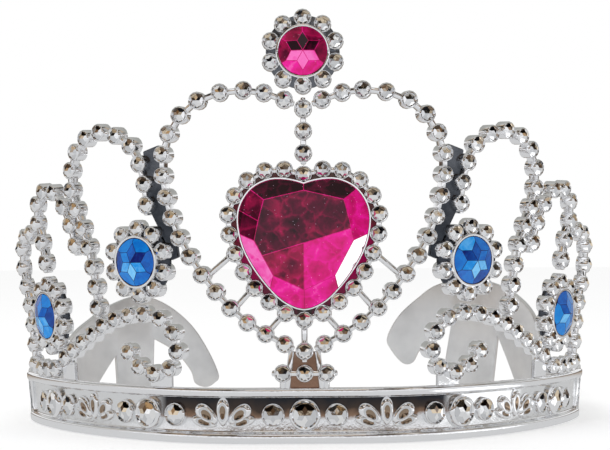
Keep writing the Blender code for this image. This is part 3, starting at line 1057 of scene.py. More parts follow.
STRANDS = (
    Strand("heart_outline", ((2.1, 78.7), (9.0, 81.3), (17.6, 81.7), (25.7, 78.2), (30.6, 70.6), (31.5, 62.5),
                             (29.3, 51.4), (25.2, 42.7), (19.5, 34.6), (13.0, 27.9), (2.4, 21.9)), 19),
    Strand("arch_a", ((35.5, 53.3), (35.9, 61.0), (39.4, 69.8), (47.9, 73.3), (55.4, 70.5), (59.4, 63.0),
                      (57.9, 55.2), (54.5, 47.0), (52.6, 38.5), (51.8, 29.0)), 16),
    Strand("arch_b", ((58.3, 44.0), (60.4, 51.0), (63.4, 56.4), (68.6, 60.3), (74.0, 58.8), (77.2, 54.4),
                      (75.7, 49.8), (74.0, 45.0), (73.3, 39.6)), 9),
    Strand("arch_c", ((78.6, 49.6), (84.5, 49.4), (89.6, 46.4), (90.9, 41.6), (89.3, 35.6), (86.9, 29.6),
                      (86.2, 22.0), (86.2, 13.4)), 9),
    Strand("curl_a", ((43.4, 22.9), (40.6, 18.9), (36.4, 16.3), (31.6, 16.9), (29.0, 20.8), (30.2, 26.3),
                      (34.4, 29.7), (41.0, 29.8), (48.6, 27.8), (56.6, 23.6), (68.3, 17.7)), 15),
    Strand("curl_b", ((69.8, 15.9), (76.0, 15.4), (82.8, 15.4)), 3),
)


@dataclass(frozen=True)
class BeadWork:
    """The arches and curls, the webs between them, and the bead work that holds the heart."""

    curl_feet: tuple = ((33.8, 5.8, 3.4), (66.6, 5.6, 4.6))
    side_web: tuple[Point, ...] = ((32.6, 69.5), (36.4, 68.2), (35.6, 61.0), (35.2, 54.5), (33.0, 50.0),
                                   (31.4, 46.5), (30.4, 42.6), (28.4, 43.4), (28.8, 46.5), (30.2, 51.6),
                                   (32.2, 62.5), (31.2, 69.4))
    web_depths: Point = (0.7, 1.9)
    band_top: float = 12.8
    struts: tuple = (("upper", (16.1, 44.1), (22.5, 38.6)), ("middle", (11.6, 36.4), (16.4, 31.0)),
                     ("lower", (4.4, 30.5), (9.0, 25.2)))
    strut_radius: float = 0.72
    strut_depth: float = 1.9
    post: tuple[Point, ...] = ((0.0, 64.7), (0.0, 72.4), (0.0, 80.2))
    foot_z: float = 16.3
    foot_pitch: float = 5.1

    def web(self, bench: Workbench, name: str, outline: Sequence[Point], finish: bpy.types.Material,
            side: Side = Side.RIGHT) -> Object:
        """A thin plate between raised pieces, in a finish of its own.

        Args:
            bench: The shared bench.
            name: The plate's name.
            outline: Its corners in (s, z).
            finish: Its material.
            side: The side it is on.

        Returns:
            The plate.
        """
        plate = prism(name, outline, *self.web_depths)
        soften(plate, 0.2, 1)
        span = [p[0] for p in outline]
        low, high = min(span), max(span)
        count = max(1, int((high - low) / 2.5))
        cuts = [(Vector(((low + (high - low) * k / count) * MM, 0, 0)), Vector((1, 0, 0)))
                for k in range(1, count)]
        saw(plate, cuts, discard=False)
        return dress(with_tone(bench.plan.bend(plate, side)), finish)

    def bar(self, bench: Workbench, start: Point, end: Point, side: Side) -> Object:
        """A round rod between two beads.

        Args:
            bench: The shared bench.
            start: One end in (s, z).
            end: The other end.
            side: The side it is on.

        Returns:
            The rod.
        """
        first = Vector((start[0] * side.value, start[1]))
        last = Vector((end[0] * side.value, end[1]))
        run = last - first
        clear_selection()
        bpy.ops.mesh.primitive_cylinder_add(vertices=12, radius=self.strut_radius * MM, depth=run.length * MM,
                                            rotation=(0, pi / 2, 0))
        rod = bpy.context.object
        settle(rod)
        soften(rod, 0.15)
        smooth(rod)
        turn = Matrix.Rotation(-atan2(run.y, run.x), 4, "Y")
        lie = Matrix.Translation((0, -self.strut_depth * MM, 0)) @ turn
        rod.data.transform(bench.plan.seat(*((first + last) / 2)) @ lie)
        return dress(with_tone(rod), bench.finishes.mirror)

    def build(self, bench: Workbench) -> None:
        """Build every string, web and rod.

        Args:
            bench: The shared bench.
        """
        for side in Side:
            for strand in STRANDS:
                parts = strand.build(bench, side)
                if strand.node == "curl_a":
                    for middle, width, height in self.curl_feet:
                        left, right = middle - width / 2, middle + width / 2
                        top = self.band_top + height
                        outline = ((left, self.band_top), (right, self.band_top), (right, top), (left, top))
                        parts.append(self.web(bench, "curl_foot", outline, bench.finishes.mirror, side))
                if strand.node == "arch_a":
                    # The side web's colour is painted shade.
                    parts.append(self.web(bench, "side_web", self.side_web, bench.finishes.web, side))
                name = f"{strand.node}_{side.word}"
                bench.deliver(fuse(f"beads_{name}", parts), "front", [name])
            for word, start, end in self.struts:
                name = f"strut_{word}_{side.word}"
                rod = fuse(f"rod_{name}", [self.bar(bench, start, end, side)])
                bench.deliver(rod, "front", [name])
        self.build_post(bench)
        self.build_foot(bench)

    def build_post(self, bench: Workbench) -> None:
        """The beads above the heart."""
        parts = Strand("upper_post", self.post, 3).build(bench, Side.RIGHT)
        bench.deliver(fuse("beads_upper_post", parts), "front", ["upper_post"])

    def build_foot(self, bench: Workbench) -> None:
        """The beads below the heart, on a tapering plate painted with a reflection in browns, with a rib
        along each side.

        Args:
            bench: The shared bench.
        """
        z, pitch = self.foot_z, self.foot_pitch
        row = Strand("row", ((-1.5 * pitch, z), (0.0, z), (1.5 * pitch, z)), 3)
        stem = Strand("stem", ((0.0, z + pitch / 2), (0.0, z + 1.5 * pitch)), 1)
        parts = row.build(bench, Side.RIGHT) + stem.build(bench, Side.RIGHT)
        plate = ((-3.9, self.band_top), (3.9, self.band_top), (3.0, z + 5.0), (-3.0, z + 5.0))
        # The foot plate's colour is a painted reflection in browns.
        parts.append(self.web(bench, "foot_plate", plate, bench.finishes.brown))
        for side in Side:
            parts.append(self.bar(bench, (4.0, self.band_top), (3.0, z + 5.2), side))
            low = ((5.1, self.band_top), (5.1, z))
            parts.append(self.bar(bench, *low, side))
        bench.deliver(fuse("beads_foot", parts), "front", ["foot"])
        rod = fuse("rod_strut_bottom", [self.bar(bench, (0.0, z + pitch), (0.0, 28.7), Side.RIGHT)])
        bench.deliver(rod, "front", ["strut_bottom"])


# Stones and settings

@dataclass(frozen=True)
class FacetTones:
    """How light each kind of facet of a stone is painted, from 0, darkest, to 1, and the lines between:
    painted reflection and shade.
    """

    upper_petal: float
    upper_edge: float
    side: float
    lower_petal: float
    lower_edge: float
    line: float
    spread: float


# A facet with this tone is painted near white and made a mirror, so that it shows the bright floor patch as a
# glare highlight.
GLARE_MIRROR_TONE = 1.2
# A skirt starts this far in front of its tray's back, in millimetres, so that no two faces share a plane.
SKIRT_STEP = 0.15
# Painted reflection and shade: facets that face up are darker, those that face down lighter.
PINK_TONES = FacetTones(0.03, 0.34, 0.2, 0.9, 0.68, 0.5, 0.07)
BLUE_TONES = FacetTones(0.42, 0.62, 0.5, 0.78, 0.55, 0.08, 0.2)


@dataclass(frozen=True)
class RoundStone:
    """A round stone cut as a six-petalled star."""

    radius: float = 5.6
    back: float = 2.8
    girdle: float = 3.75
    top: float = 5.7
    petals: int = 6
    waist: float = 0.48
    steepening: float = 1.8
    line: float = 0.07

    def build(self, name: str, finish: bpy.types.Material, tones: FacetTones, dice: random.Random) -> Object:
        """Cut the stone from a round blank, about the origin.

        Args:
            name: The stone's name.
            finish: Its acrylic.
            tones: The painted reflection and shade of its facets.
            dice: Varies each facet's tone.

        Returns:
            The stone, lying flat.
        """
        made = cylinder(name, self.radius, self.back, self.top, 36)
        drop = self.top - self.girdle
        waist = self.radius * self.waist
        half = pi / self.petals
        slope = drop / (cos(half) * waist + self.steepening * (self.radius - waist))
        planes = []
        for k in range(self.petals):
            turn = 2 * half * k
            planes.append(Stud.facet(turn + half, 0.0, self.top, slope))
            fall = slope * cos(half) * waist
            planes.append(Stud.facet(turn, waist, self.top - fall, slope * self.steepening))
        saw(made, planes, discard=True)
        steep = 1 / (1 + (slope * (1 + self.steepening) / 2) ** 2) ** 0.5
        line_facets(made, self.line)
        tint_cut(made, tones, steep, dice)
        return dress(made, finish)


def line_facets(obj: Object, width: float) -> None:
    """Outline every front facet with a thin strip; the facets themselves are left selected.

    Args:
        obj: The cut stone.
        width: The strip's width, in millimetres.
    """
    pick_faces(obj, lambda face: face.normal.y < -0.5)
    bpy.ops.mesh.inset(thickness=width * MM, use_individual=True)
    leave_edit()


def tint_cut(obj: Object, tones: FacetTones, steep: float, dice: random.Random) -> None:
    """Paint reflection and shade into each selected facet, by the way it faces.

    Args:
        obj: The cut stone, with its facets selected and the strips between them not.
        tones: The painted reflection and shade of each kind of facet.
        steep: A facet whose normal leans further than this belongs to the edge.
        dice: Varies each facet's tone.
    """
    with_tone(obj, tones.line)
    for face, tone in zip(obj.data.polygons, obj.data.attributes["tone"].data):
        if not face.select:
            continue
        edge = -face.normal.y < steep
        if abs(face.normal.z) < 0.06:
            value = tones.side
        elif face.normal.z > 0:
            value = tones.upper_edge if edge else tones.upper_petal
        else:
            value = tones.lower_edge if edge else tones.lower_petal
        tone.value = value + dice.uniform(-tones.spread, tones.spread)


@dataclass(frozen=True)
class RoundSetting:
    """A tray with a thin bright rim and ten beads round it, holding a round stone."""

    node: str
    s: float
    z: float
    ring: float
    body: str = "front"
    stone: RoundStone = RoundStone()
    seat: float = 5.7
    rim: float = 6.3
    floor: float = 1.8
    back: float = 0.6
    rim_top: float = 3.95
    skirt: float = 8.6
    beads: int = 10

    def build(self, bench: Workbench, side: Side, colour: Slot) -> None:
        """Build the tray, its beads and the stone.

        Args:
            bench: The shared bench.
            side: The side it is on.
            colour: The stone's slot, pink or blue.
        """
        place = bench.plan.seat(self.s * side.value, self.z)
        tray = cylinder("tray", self.rim, self.back, self.rim_top, 40)
        pick_faces(tray, faces_front)
        bpy.ops.mesh.inset(thickness=(self.rim - self.seat) * MM)
        push(self.floor - self.rim_top)
        leave_edit()
        soften(tray, 0.12, 2)
        smooth(tray)
        dress(with_tone(tray), bench.finishes.mirror)
        skirt = cylinder("skirt", self.skirt, self.back + SKIRT_STEP, self.floor, 40)
        soften(skirt, 0.2)
        smooth(skirt)
        # The skirt round the stone is painted dark: painted shade.
        dress(with_tone(skirt), bench.finishes.web)
        for part in (tray, skirt):
            part.data.transform(place)
        parts = [tray, skirt]
        for k in range(self.beads):
            turn = 2 * pi * k / self.beads
            here = Matrix.Translation((self.ring * sin(turn) * MM, 0, self.ring * cos(turn) * MM))
            parts.append(bench.add_bead(place @ here))
        bench.deliver(fuse(f"silver_{self.node}", parts), self.body, [self.node])
        pink = colour is Slot.PINK
        finish = bench.finishes.pink if pink else bench.finishes.blue
        stone_node = self.node.replace("setting", "stone")
        tones = PINK_TONES if pink else BLUE_TONES
        stone = self.stone.build(f"cut_{stone_node}", finish, tones, bench.dice)
        stone.data.transform(place)
        bench.deliver(stone, self.body, [stone_node])


@dataclass(frozen=True)
class HeartSetting:
    """The heart stone in its tray, with beads all round."""

    edge: tuple[Point, ...] = ((0, 60.1), (3.4, 61.0), (7.7, 61.1), (11.8, 59.2), (14.4, 55.6), (15.1, 51.4),
                               (13.9, 45.6), (10.6, 39.6), (6.0, 34.2), (2.4, 31.9), (0, 31.3))
    ring: tuple[Point, ...] = ((0, 62.3), (6.6, 63.7), (13.1, 60.9), (17.2, 54.6), (16.9, 47.0), (13.3, 38.7),
                               (8.3, 33.1), (0, 28.7))
    table: tuple[Point, ...] = ((0, 58.6), (9.5, 56.4), (10.5, 51.6), (11.6, 47.4), (7.1, 39.0), (0, 35.7))
    beads: int = 24
    back: float = 0.6
    floor: float = 1.8
    rim_top: float = 3.8
    clearance: float = 0.1
    wall: float = 0.28
    skirt: float = 2.7
    split: tuple = (((0.0, 46.5), (-0.30, 0.0, 1.0)), ((0.0, 46.5), (1.0, 0.0, 0.0)))
    stone_back: float = 2.8
    girdle: float = 3.8
    top: float = 6.75

    def outline(self) -> list[Point]:
        """The stone's edge as a fine clockwise outline."""
        half = smooth_path(self.edge, per_span=4)
        return both_halves([(p.x, p.y) for p in half])

    def cut_stone(self, bench: Workbench) -> Object:
        """Cut the heart from a blank: a flat table, and a facet from each table edge to the girdle.

        Args:
            bench: The shared bench.

        Returns:
            The stone, flat.
        """
        outline = self.outline()
        stone = prism("cut_stone_heart", outline, self.stone_back, self.top)
        table = both_halves(self.table)
        planes = []
        for start, end in zip(table, table[1:] + table[:1]):
            way = Vector((end[0] - start[0], end[1] - start[1])).normalized()
            out = Vector((-way.y, way.x))
            reach = max((p[0] - start[0]) * out.x + (p[1] - start[1]) * out.y for p in outline)
            slope = (self.top - self.girdle) / reach
            facing = Vector((out.x * slope, -1, out.y * slope)).normalized()
            planes.append((Vector((start[0] * MM, -self.top * MM, start[1] * MM)), facing))
        saw(stone, planes, discard=True)
        table_y = -(self.top - 0.02) * MM
        for (s, z), way in self.split:
            pick_faces(stone, lambda face: faces_front(face) and face.center.y < table_y
                       and (way[2] > 0 or face.center.z < z * MM))
            bpy.ops.mesh.bisect(plane_co=(s * MM, 0, z * MM), plane_no=way, threshold=1e-7)
            leave_edit()
        line_facets(stone, 0.1)
        self.tint_heart(stone)
        return dress(stone, bench.finishes.pink)

    def tint_heart(self, stone: Object) -> None:
        """Paint reflection and shade into the facets: near-black above, deep crimson in the middle, bright
        magenta low on the right.

        Args:
            stone: The stone, with its facets selected.
        """
        with_tone(stone, 0.5)
        middle = self.split[0][0][1] * MM
        for face, tone in zip(stone.data.polygons, stone.data.attributes["tone"].data):
            if not face.select:
                continue
            right = face.center.x > 0
            if faces_front(face):
                below = face.center.z < middle + 0.3 * face.center.x
                tone.value = (0.62 if right else 0.26) if below else 0.15
            elif face.normal.z > 0.3:
                tone.value = 0.02
            elif face.normal.z > -0.2:
                tone.value = 0.54 if right else 0.14
            else:
                low = face.center.z < self.table[4][1] * MM
                tone.value = 0.66 if low else (GLARE_MIRROR_TONE if right else 0.9)

    def build(self, bench: Workbench) -> None:
        """Build the tray, the beads and the stone.

        Args:
            bench: The shared bench.
        """
        place = bench.plan.seat(0.0, 0.0)
        edge = self.outline()
        tray = prism("tray", grown(edge, self.clearance + self.wall), self.back, self.rim_top)
        pick_faces(tray, faces_front)
        bpy.ops.mesh.inset(thickness=self.wall * MM)
        push(self.floor - self.rim_top)
        leave_edit()
        smooth(tray)
        dress(with_tone(tray), bench.finishes.mirror)
        skirt = prism("skirt", grown(edge, self.skirt), self.back + SKIRT_STEP, self.floor)
        smooth(skirt)
        # The skirt round the heart is painted dark crimson and black: a painted reflection of the stone, and
        # painted shade.
        dress(with_tone(skirt), bench.finishes.rose)
        for part in (tray, skirt):
            part.data.transform(place)
        stops = even_points(smooth_path(both_halves(self.ring), True), self.beads, True)
        parts = [tray, skirt]
        for stop in stops:
            here = Matrix.Translation((stop.x * MM, 0, stop.y * MM))
            parts.append(bench.add_bead(place @ here))
        for start, end in zip(stops, stops[1:] + stops[:1]):
            middle = (start + end) / 2
            here = Matrix.Translation((middle.x * MM, 0, middle.y * MM))
            parts.append(bench.add_neck(place @ here, start, end))
        bench.deliver(fuse("silver_setting_heart", parts), "front", ["setting_heart"])
        stone = self.cut_stone(bench)
        stone.data.transform(place)
        bench.deliver(stone, "front", ["stone_heart"])


# Band

@dataclass(frozen=True)
class Band:
    """The relief band: two rails, a recessed field, studs and palmettes, from ear to ear."""

    height: float = 12.9
    field_depth: float = 1.4
    rail_depth: float = 2.8
    bottom_rail: float = 2.4
    top_rail: float = 2.0
    end: float = 97.8
    slice: float = 1.6
    period: float = 37.6
    relief_z: float = 6.6
    small_offset: float = 7.4
    big: Stud = Stud(3.7, 1.0, 2.5, 3.0, 3.45, 1.0, 32)
    small: Stud = Stud(2.8, 1.0, 2.1, 2.5, 3.0, 0.5, 20)
    petals: tuple = ((17.0, 4.7, 6.4, 2.5), (39.0, 5.0, 6.6, 3.7), (90.0, 3.7, 7.0, 3.2),
                     (141.0, 5.0, 6.6, 3.7), (163.0, 4.7, 6.4, 2.5))
    root_z: float = 3.6
    petal_depths: Point = (1.2, 2.6)

    def body(self, bench: Workbench) -> Object:
        """The band's wall, recessed between its rails.

        Args:
            bench: The shared bench.

        Returns:
            The wall, bent round the crown.
        """
        clear_selection()
        bpy.ops.mesh.primitive_cube_add(size=MM,
                                        location=(0, -self.rail_depth / 2 * MM, self.height / 2 * MM))
        wall = bpy.context.object
        wall.scale = (2 * self.end, self.rail_depth, self.height)
        settle(wall)
        up = Vector((0, 0, 1))
        levels = [(Vector((0, 0, z * MM)), up) for z in (self.bottom_rail, self.height - self.top_rail)]
        saw(wall, levels, discard=False)
        low, high = self.bottom_rail * MM, (self.height - self.top_rail) * MM
        pick_faces(wall, lambda face: faces_front(face) and low < face.center.z < high)
        push(self.field_depth - self.rail_depth)
        leave_edit()
        soften(wall, 0.55, 3, 60)
        smooth(wall, 50)
        count = int(2 * self.end / self.slice)
        cuts = [(Vector(((-self.end + 2 * self.end * k / count) * MM, 0, 0)), Vector((1, 0, 0)))
                for k in range(1, count)]
        saw(wall, cuts, discard=False)
        dress(with_tone(wall), bench.finishes.mirror)
        # The recessed field takes the finish with painted shade and reflection.
        wall.data.materials.append(bench.finishes.hollow)
        for face in wall.data.polygons:
            recessed = -face.center.y < (self.field_depth + 0.1) * MM
            if face.normal.y < -0.9 and recessed:
                face.material_index = 1
        return bench.plan.bend(wall)

    def petal(self, length: float, width: float) -> Object:
        """One leaf of a palmette: a raised tear drop with a dished face and a rolled edge.

        Args:
            length: Its length.
            width: Its width.

        Returns:
            The leaf, about the origin.
        """
        clear_selection()
        bpy.ops.mesh.primitive_uv_sphere_add(segments=20, ring_count=14, radius=0.5 * MM,
                                             rotation=(pi / 2, 0, 0))
        leaf = bpy.context.object
        settle(leaf)
        leaf.scale = (length, 2 * (self.petal_depths[1] - self.petal_depths[0]), width)
        settle(leaf)
        for vert in leaf.data.vertices:
            along = vert.co.x / (length * MM)
            across = Vector((along, vert.co.z / (width * MM))).length * 2
            if vert.co.y < 0:
                vert.co.y *= 1.0 - 0.75 * max(0.0, 1.0 - across / 0.72)
            vert.co.z *= 0.78 + 0.5 * (along + 0.5)
        smooth(leaf, 60)
        with_tone(leaf)
        # The dished middle of the leaf is painted darker, dark brown at its centre and grey round it: painted
        # shade and reflection in the dish.
        for face, tone in zip(leaf.data.polygons, leaf.data.attributes["tone"].data):
            across = Vector((face.center.x / length, face.center.z / width)).length * 2 / MM
            if face.normal.y < 0 and across < 0.62:
                tone.value = 0.78 if across < 0.4 else 0.45
        return leaf

    def palmette(self, bench: Workbench, s: float) -> list[Object]:
        """Five leaves that fan from a root on the band.

        Args:
            bench: The shared bench.
            s: The way along the band.

        Returns:
            The leaves.
        """
        seat = bench.plan.seat(s, self.root_z)
        parts = []
        for turn, middle, length, width in self.petals:
            leaf = self.petal(length, width)
            lie = (Matrix.Translation((middle * cos(radians(turn)) * MM, -self.petal_depths[0] * MM,
                                       middle * sin(radians(turn)) * MM))
                   @ Matrix.Rotation(-radians(turn), 4, "Y"))
            leaf.data.transform(seat @ lie)
            parts.append(dress(leaf, bench.finishes.mirror))
        return parts

    def build(self, bench: Workbench) -> None:
        """Build the whole relief band as one piece.

        Args:
            bench: The shared bench.
        """
        parts = [self.body(bench)]
        big = dress(self.big.master("big_stud"), bench.finishes.mirror)
        small = dress(self.small.master("small_stud"), bench.finishes.mirror)
        for k in range(-2, 3):
            places = [(big, self.big, 0.0), (small, self.small, -self.small_offset),
                      (small, self.small, self.small_offset)]
            for master, kind, shift in places:
                s = k * self.period + shift
                stud = copy_of(master, Matrix.Identity(4))
                # Each stud's facets are painted with their own reflections.
                kind.tint(stud, bench.dice)
                stud.data.transform(bench.plan.seat(s, self.relief_z))
                parts.append(stud)
        for k in range(-2, 2):
            parts += self.palmette(bench, (k + 0.5) * self.period)
        scrap(big)
        scrap(small)
        nodes = ["band_front"] + [f"band_{n}_{side.word}" for side in Side for n in ("shoulder", "side")]
        bench.deliver(fuse("relief_band", parts), "front", nodes)


@dataclass(frozen=True)
class RearEnd:
    """A plain strap behind the relief: it rises, passes over a leg and ends free."""

    outer: tuple[Point, ...]
    tip: tuple[Point, ...]
    inner: tuple[Point, ...]
    leg_far: float
    crotch: Point
    leg_near: float = 165.8
    foot_end: float = 154.0
    start: float = 97.6
    height: float = 12.9
    thick: float = 1.6
    slice: float = 2.0
    bend_over: float = 14.0

    def build(self, bench: Workbench, side: Side) -> None:
        """Build one end, which bends smoothly where the relief stops.

        Args:
            bench: The shared bench.
            side: The side it is on.
        """
        free = [(p.x, p.y) for p in smooth_path(self.outer + self.tip + self.inner, per_span=6)]
        outline = [(self.start, 0.0), (self.foot_end, 0.0), self.crotch, (self.leg_near, 0.0),
                   (self.leg_far, 0.0)]
        outline += list(reversed(free)) + [(self.start, self.height)]
        strap = prism("strap", outline, 0.0, self.thick)
        soften(strap, 0.4, 3, 50)
        smooth(strap, 40)
        high = max(p[0] for p in outline)
        count = int((high - self.start) / self.slice)
        cuts = [(Vector(((self.start + (high - self.start) * k / count) * MM, 0, 0)), Vector((1, 0, 0)))
                for k in range(1, count)]
        saw(strap, cuts, discard=False)
        bench.plan.bend(strap, side)
        dress(with_tone(strap), bench.finishes.satin)
        made = fuse(f"strap_rear_{side.word}", [strap])
        near = bench.plan.place(98.0 * side.value, 0.0, self.thick / 2)
        far = bench.plan.place((98.0 + self.bend_over) * side.value, 0.0, self.thick / 2)
        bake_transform(made)
        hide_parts(f"rear_end_{side.word}")
        log.info("%s: %d faces", made.name, len(made.data.polygons))


REAR_ENDS = {
    Side.RIGHT: RearEnd(
        outer=((143.0, 12.9), (150.2, 24.5), (157.0, 30.3), (164.7, 33.9), (173.0, 35.4), (183.3, 33.8),
               (190.0, 29.2), (195.6, 23.8), (199.0, 17.2)),
        tip=((197.6, 13.2), (194.2, 9.4), (191.2, 9.6)),
        inner=((188.9, 13.5), (184.6, 17.6), (179.2, 22.0)), leg_far=182.8, crotch=(164.0, 18.6)),
    Side.LEFT: RearEnd(
        outer=((143.0, 12.9), (149.0, 19.8), (156.0, 24.0), (164.5, 28.4), (173.8, 30.9), (182.0, 28.2),
               (189.6, 21.8), (194.8, 13.8), (198.0, 6.1)),
        tip=((196.6, 3.6), (194.0, 2.4), (190.8, 3.6)),
        inner=((189.4, 7.6), (184.8, 13.4), (178.2, 17.6)), leg_far=177.4, crotch=(165.4, 13.2)),
}


# Studio

@dataclass(frozen=True)
class Studio:
    """The camera, a plain pale floor and soft white light."""

    distance: float = 0.400
    height: float = 0.0458
    lens: float = 101.33
    shift: Point = (0.0018, 0.0344)
    roll: float = -0.35
    floor_size: float = 6.0
    fill_strength: float = 0.66
    floor_glow: float = 0.34
    # A bright patch of floor, seen only by what shines; the heart's white mirror facet shows it to the camera
    # as a glare highlight.
    card_place: tuple[float, float, float] = (0.091, -0.067, 0.0)
    card_radius: float = 0.03
    card_glow: float = 2.2
    back_stops: tuple = ((0.0, (0.62, 0.62, 0.62)), (0.45, (0.52, 0.52, 0.51)), (0.49, (0.05, 0.04, 0.03)),
                         (0.53, (0.12, 0.08, 0.06)), (0.56, (1.0, 1.0, 1.0)), (0.61, (0.85, 0.85, 0.85)),
                         (0.68, (0.42, 0.42, 0.40)), (0.86, (0.36, 0.36, 0.34)), (1.0, (0.48, 0.48, 0.46)))
    front_stops: tuple = ((0.0, (0.60, 0.60, 0.60)), (0.45, (0.95, 0.95, 0.96)), (0.535, (0.98, 0.98, 1.0)),
                          (0.56, (0.06, 0.05, 0.045)), (0.62, (0.30, 0.20, 0.13)), (0.68, (0.9, 0.9, 0.92)),
                          (0.78, (0.42, 0.42, 0.42)), (0.86, (0.52, 0.40, 0.27)), (1.0, (0.48, 0.48, 0.46)))
    patch_stops: tuple = ((0.0, (0.02, 0.018, 0.016)), (0.28, (0.52, 0.38, 0.24)), (0.58, (0.95, 0.95, 0.95)),
                          (0.80, (0.40, 0.40, 0.40)))
    table_stops: tuple = ((0.0, (0.70, 0.71, 0.72)), (0.42, (0.62, 0.62, 0.62)), (0.56, (0.36, 0.28, 0.21)),
                          (0.72, (0.07, 0.055, 0.045)), (1.0, (0.45, 0.45, 0.44)))

    def build(self, plan: Plan) -> None:
        """Set up everything that isn't the crown.

        Args:
            plan: The crown's plan.
        """
        self.camera(plan)
        self.floor()
        self.world()
        self.lamp("key", (-0.5, -0.7, 0.9), 0.5, 2.4)
        scene = bpy.context.scene
        scene.view_settings.view_transform = "Standard"

    def camera(self, plan: Plan) -> None:
        """A level camera in front of the crown.

        Args:
            plan: The crown's plan.
        """
        data = bpy.data.cameras.new("camera")
        data.lens = self.lens
        data.shift_x, data.shift_y = self.shift
        camera = bpy.data.objects.new("camera", data)
        bpy.context.scene.collection.objects.link(camera)
        turn = Matrix.Rotation(pi / 2, 4, "X") @ Matrix.Rotation(radians(self.roll), 4, "Z")
        camera.matrix_world = Matrix.Translation((0, plan.front_y - self.distance, self.height)) @ turn
        bpy.context.scene.camera = camera

    def floor(self) -> None:
        """A wide pale floor just under the crown."""
        clear_selection()
        bpy.ops.mesh.primitive_plane_add(size=self.floor_size, location=(0, 0, -0.0002))
        floor = bpy.context.object
        floor.name = "floor"
        made, nodes, shader = new_finish("floor_paper")
        mottle = lay_mottle(nodes, 8.0)
        stops = ((0.0, (0.92, 0.92, 0.92)), (1.0, (0.94, 0.94, 0.94)))
        nodes.wire(nodes.ramp(mottle.outputs["Cloud"], stops), shader.inputs["Base Color"])
        shader.inputs["Roughness"].default_value = 0.9
        shader.inputs["Specular IOR Level"].default_value = 0.0
        shader.inputs["Emission Color"].default_value = (1.0, 1.0, 1.0, 1.0)
        shader.inputs["Emission Strength"].default_value = self.floor_glow
        where = nodes.add("ShaderNodeTexCoord")
        split = nodes.add("ShaderNodeSeparateXYZ")
        nodes.wire(where.outputs["Object"], split.inputs["Vector"])
        depth = range_of(nodes, split.outputs["Y"], 0.0, 1.0, start=-0.3, end=0.5)
        mirrored = nodes.add("ShaderNodeEmission")
        nodes.wire(nodes.ramp(depth, self.table_stops), mirrored.inputs["Color"])
        gap = nodes.add("ShaderNodeVectorMath", operation="DISTANCE")
        nodes.wire(where.outputs["Object"], gap.inputs[0])
        gap.inputs[1].default_value = self.card_place
        card = range_of(nodes, gap.outputs["Value"], self.card_glow, 1.0,
                        start=self.card_radius, end=self.card_radius * 1.2)
        nodes.wire(card, mirrored.inputs["Strength"])
        output = made.node_tree.nodes["Material Output"]
        self.seen_in_gloss(nodes, shader.outputs[0], mirrored.outputs[0], output.inputs["Surface"])
        dress(floor, made)

    @staticmethod
    def seen_in_gloss(nodes: Nodes, plain: bpy.types.NodeSocket, mirrored: bpy.types.NodeSocket,
                      end: bpy.types.NodeSocket) -> None:
        """Let a shader show one thing to the eye and another in what shines.

        Args:
            nodes: The tree.
            plain: The shader for the eye.
            mirrored: The shader for what shines.
            end: The output's socket.
        """
        path = nodes.add("ShaderNodeLightPath")
        mix = nodes.add("ShaderNodeMixShader")
        nodes.wire(path.outputs["Is Glossy Ray"], mix.inputs[0])
        nodes.wire(plain, mix.inputs[1])
        nodes.wire(mirrored, mix.inputs[2])
        nodes.wire(mix.outputs[0], end)

    def world(self) -> None:
        """White all round for the eye; what shines sees a room with darker and warmer parts."""
        world = bpy.data.worlds.new("studio")
        world.use_nodes = True
        bpy.context.scene.world = world
        nodes = Nodes(world.node_tree)
        background = world.node_tree.nodes["Background"]
        background.inputs["Color"].default_value = (1, 1, 1, 1)
        path = nodes.add("ShaderNodeLightPath")
        nodes.wire(range_of(nodes, path.outputs["Is Camera Ray"], self.fill_strength, 1.0),
                   background.inputs["Strength"])
        where = nodes.add("ShaderNodeTexCoord")
        split = nodes.add("ShaderNodeSeparateXYZ")
        nodes.wire(where.outputs["Generated"], split.inputs["Vector"])
        height = range_of(nodes, split.outputs["Z"], 0.0, 1.0, start=-1.0)
        patches = nodes.add("ShaderNodeTexVoronoi", scale=4.5)
        nodes.wire(where.outputs["Generated"], patches.inputs["Vector"])
        chance = nodes.add("ShaderNodeSeparateColor")
        nodes.wire(patches.outputs["Color"], chance.inputs["Color"])
        patch = nodes.ramp(chance.outputs[0], self.patch_stops)
        patch.node.color_ramp.interpolation = "CONSTANT"
        patched = ((0.60, (0, 0, 0)), (0.68, (1, 1, 1)), (0.93, (1, 1, 1)), (0.97, (0, 0, 0)))
        high = nodes.ramp(height, patched)
        front = self.mixed(nodes, high, nodes.ramp(height, self.front_stops), patch)
        facing = range_of(nodes, split.outputs["Y"], 1.0, 0.0, start=-0.15, end=0.25)
        room = nodes.add("ShaderNodeBackground")
        colour = self.mixed(nodes, facing, nodes.ramp(height, self.back_stops), front)
        nodes.wire(colour, room.inputs["Color"])
        self.seen_in_gloss(nodes, background.outputs[0], room.outputs[0],
                           world.node_tree.nodes["World Output"].inputs["Surface"])

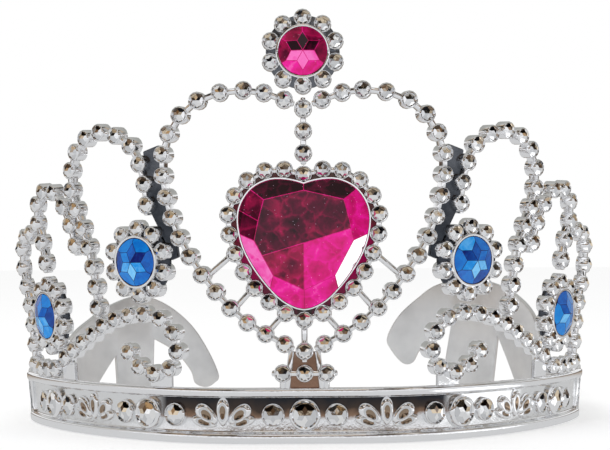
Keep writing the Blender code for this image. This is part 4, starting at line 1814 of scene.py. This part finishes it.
    @staticmethod
    def mixed(nodes: Nodes, share: bpy.types.NodeSocket, first: bpy.types.NodeSocket,
              second: bpy.types.NodeSocket) -> bpy.types.NodeSocket:
        """A colour that goes from the first to the second by a share.

        Args:
            nodes: The tree.
            share: How much of the second.
            first: The colour at 0.
            second: The colour at 1.

        Returns:
            The colour between.
        """
        mix = nodes.add("ShaderNodeMix", data_type="RGBA")
        nodes.wire(share, mix.inputs["Factor"])
        nodes.wire(first, mix.inputs[6])
        nodes.wire(second, mix.inputs[7])
        return mix.outputs[2]

    def lamp(self, name: str, place: tuple[float, float, float], size: float, power: float) -> None:
        """A soft square light that looks at the crown.

        Args:
            name: Its name.
            place: Where it stands, in metres.
            size: Its side, in metres.
            power: Its power, in watts.
        """
        data = bpy.data.lights.new(name, "AREA")
        data.size = size
        data.energy = power
        lamp = bpy.data.objects.new(name, data)
        bpy.context.scene.collection.objects.link(lamp)
        lamp.visible_glossy = False
        lamp.location = place
        lamp.rotation_euler = (Vector((0, 0, 0.05)) - Vector(place)).to_track_quat("-Z", "Y").to_euler()


STRUT_DEPTH = 1.8
TOP_Z = 90.8
STONE_PLACES = {"inner": (38.3, 42.45), "outer": (73.2, 28.85)}


def front_plane() -> float:
    """The y of the band's inner face at the front, in metres, from the frame's lowest strut."""
    low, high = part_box("strut_bottom")
    return (low.y + high.y) / 2 + STRUT_DEPTH * MM


def main() -> None:
    """Build the crown and its studio."""
    logging.basicConfig(level=logging.INFO, format="%(message)s")
    plan = Plan(front_plane())
    bench = Workbench(plan, Finishes())
    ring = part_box("setting_top")[1].z / MM - TOP_Z - bench.bead.radius
    Studio().build(plan)
    Band().build(bench)
    for side, rear in REAR_ENDS.items():
        rear.build(bench, side)
    BeadWork().build(bench)
    HeartSetting().build(bench)
    RoundSetting("setting_top", 0.0, TOP_Z, ring).build(bench, Side.RIGHT, Slot.PINK)
    for where, (s, z) in STONE_PLACES.items():
        for side in Side:
            RoundSetting(f"setting_{where}_{side.word}", s, z, ring).build(bench, side, Slot.BLUE)
    for name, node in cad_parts.items():
        if name.startswith("glue_"):
            dress(node, bench.finishes.glue)
    bench.clear()


if __name__ == "__main__":
    main()
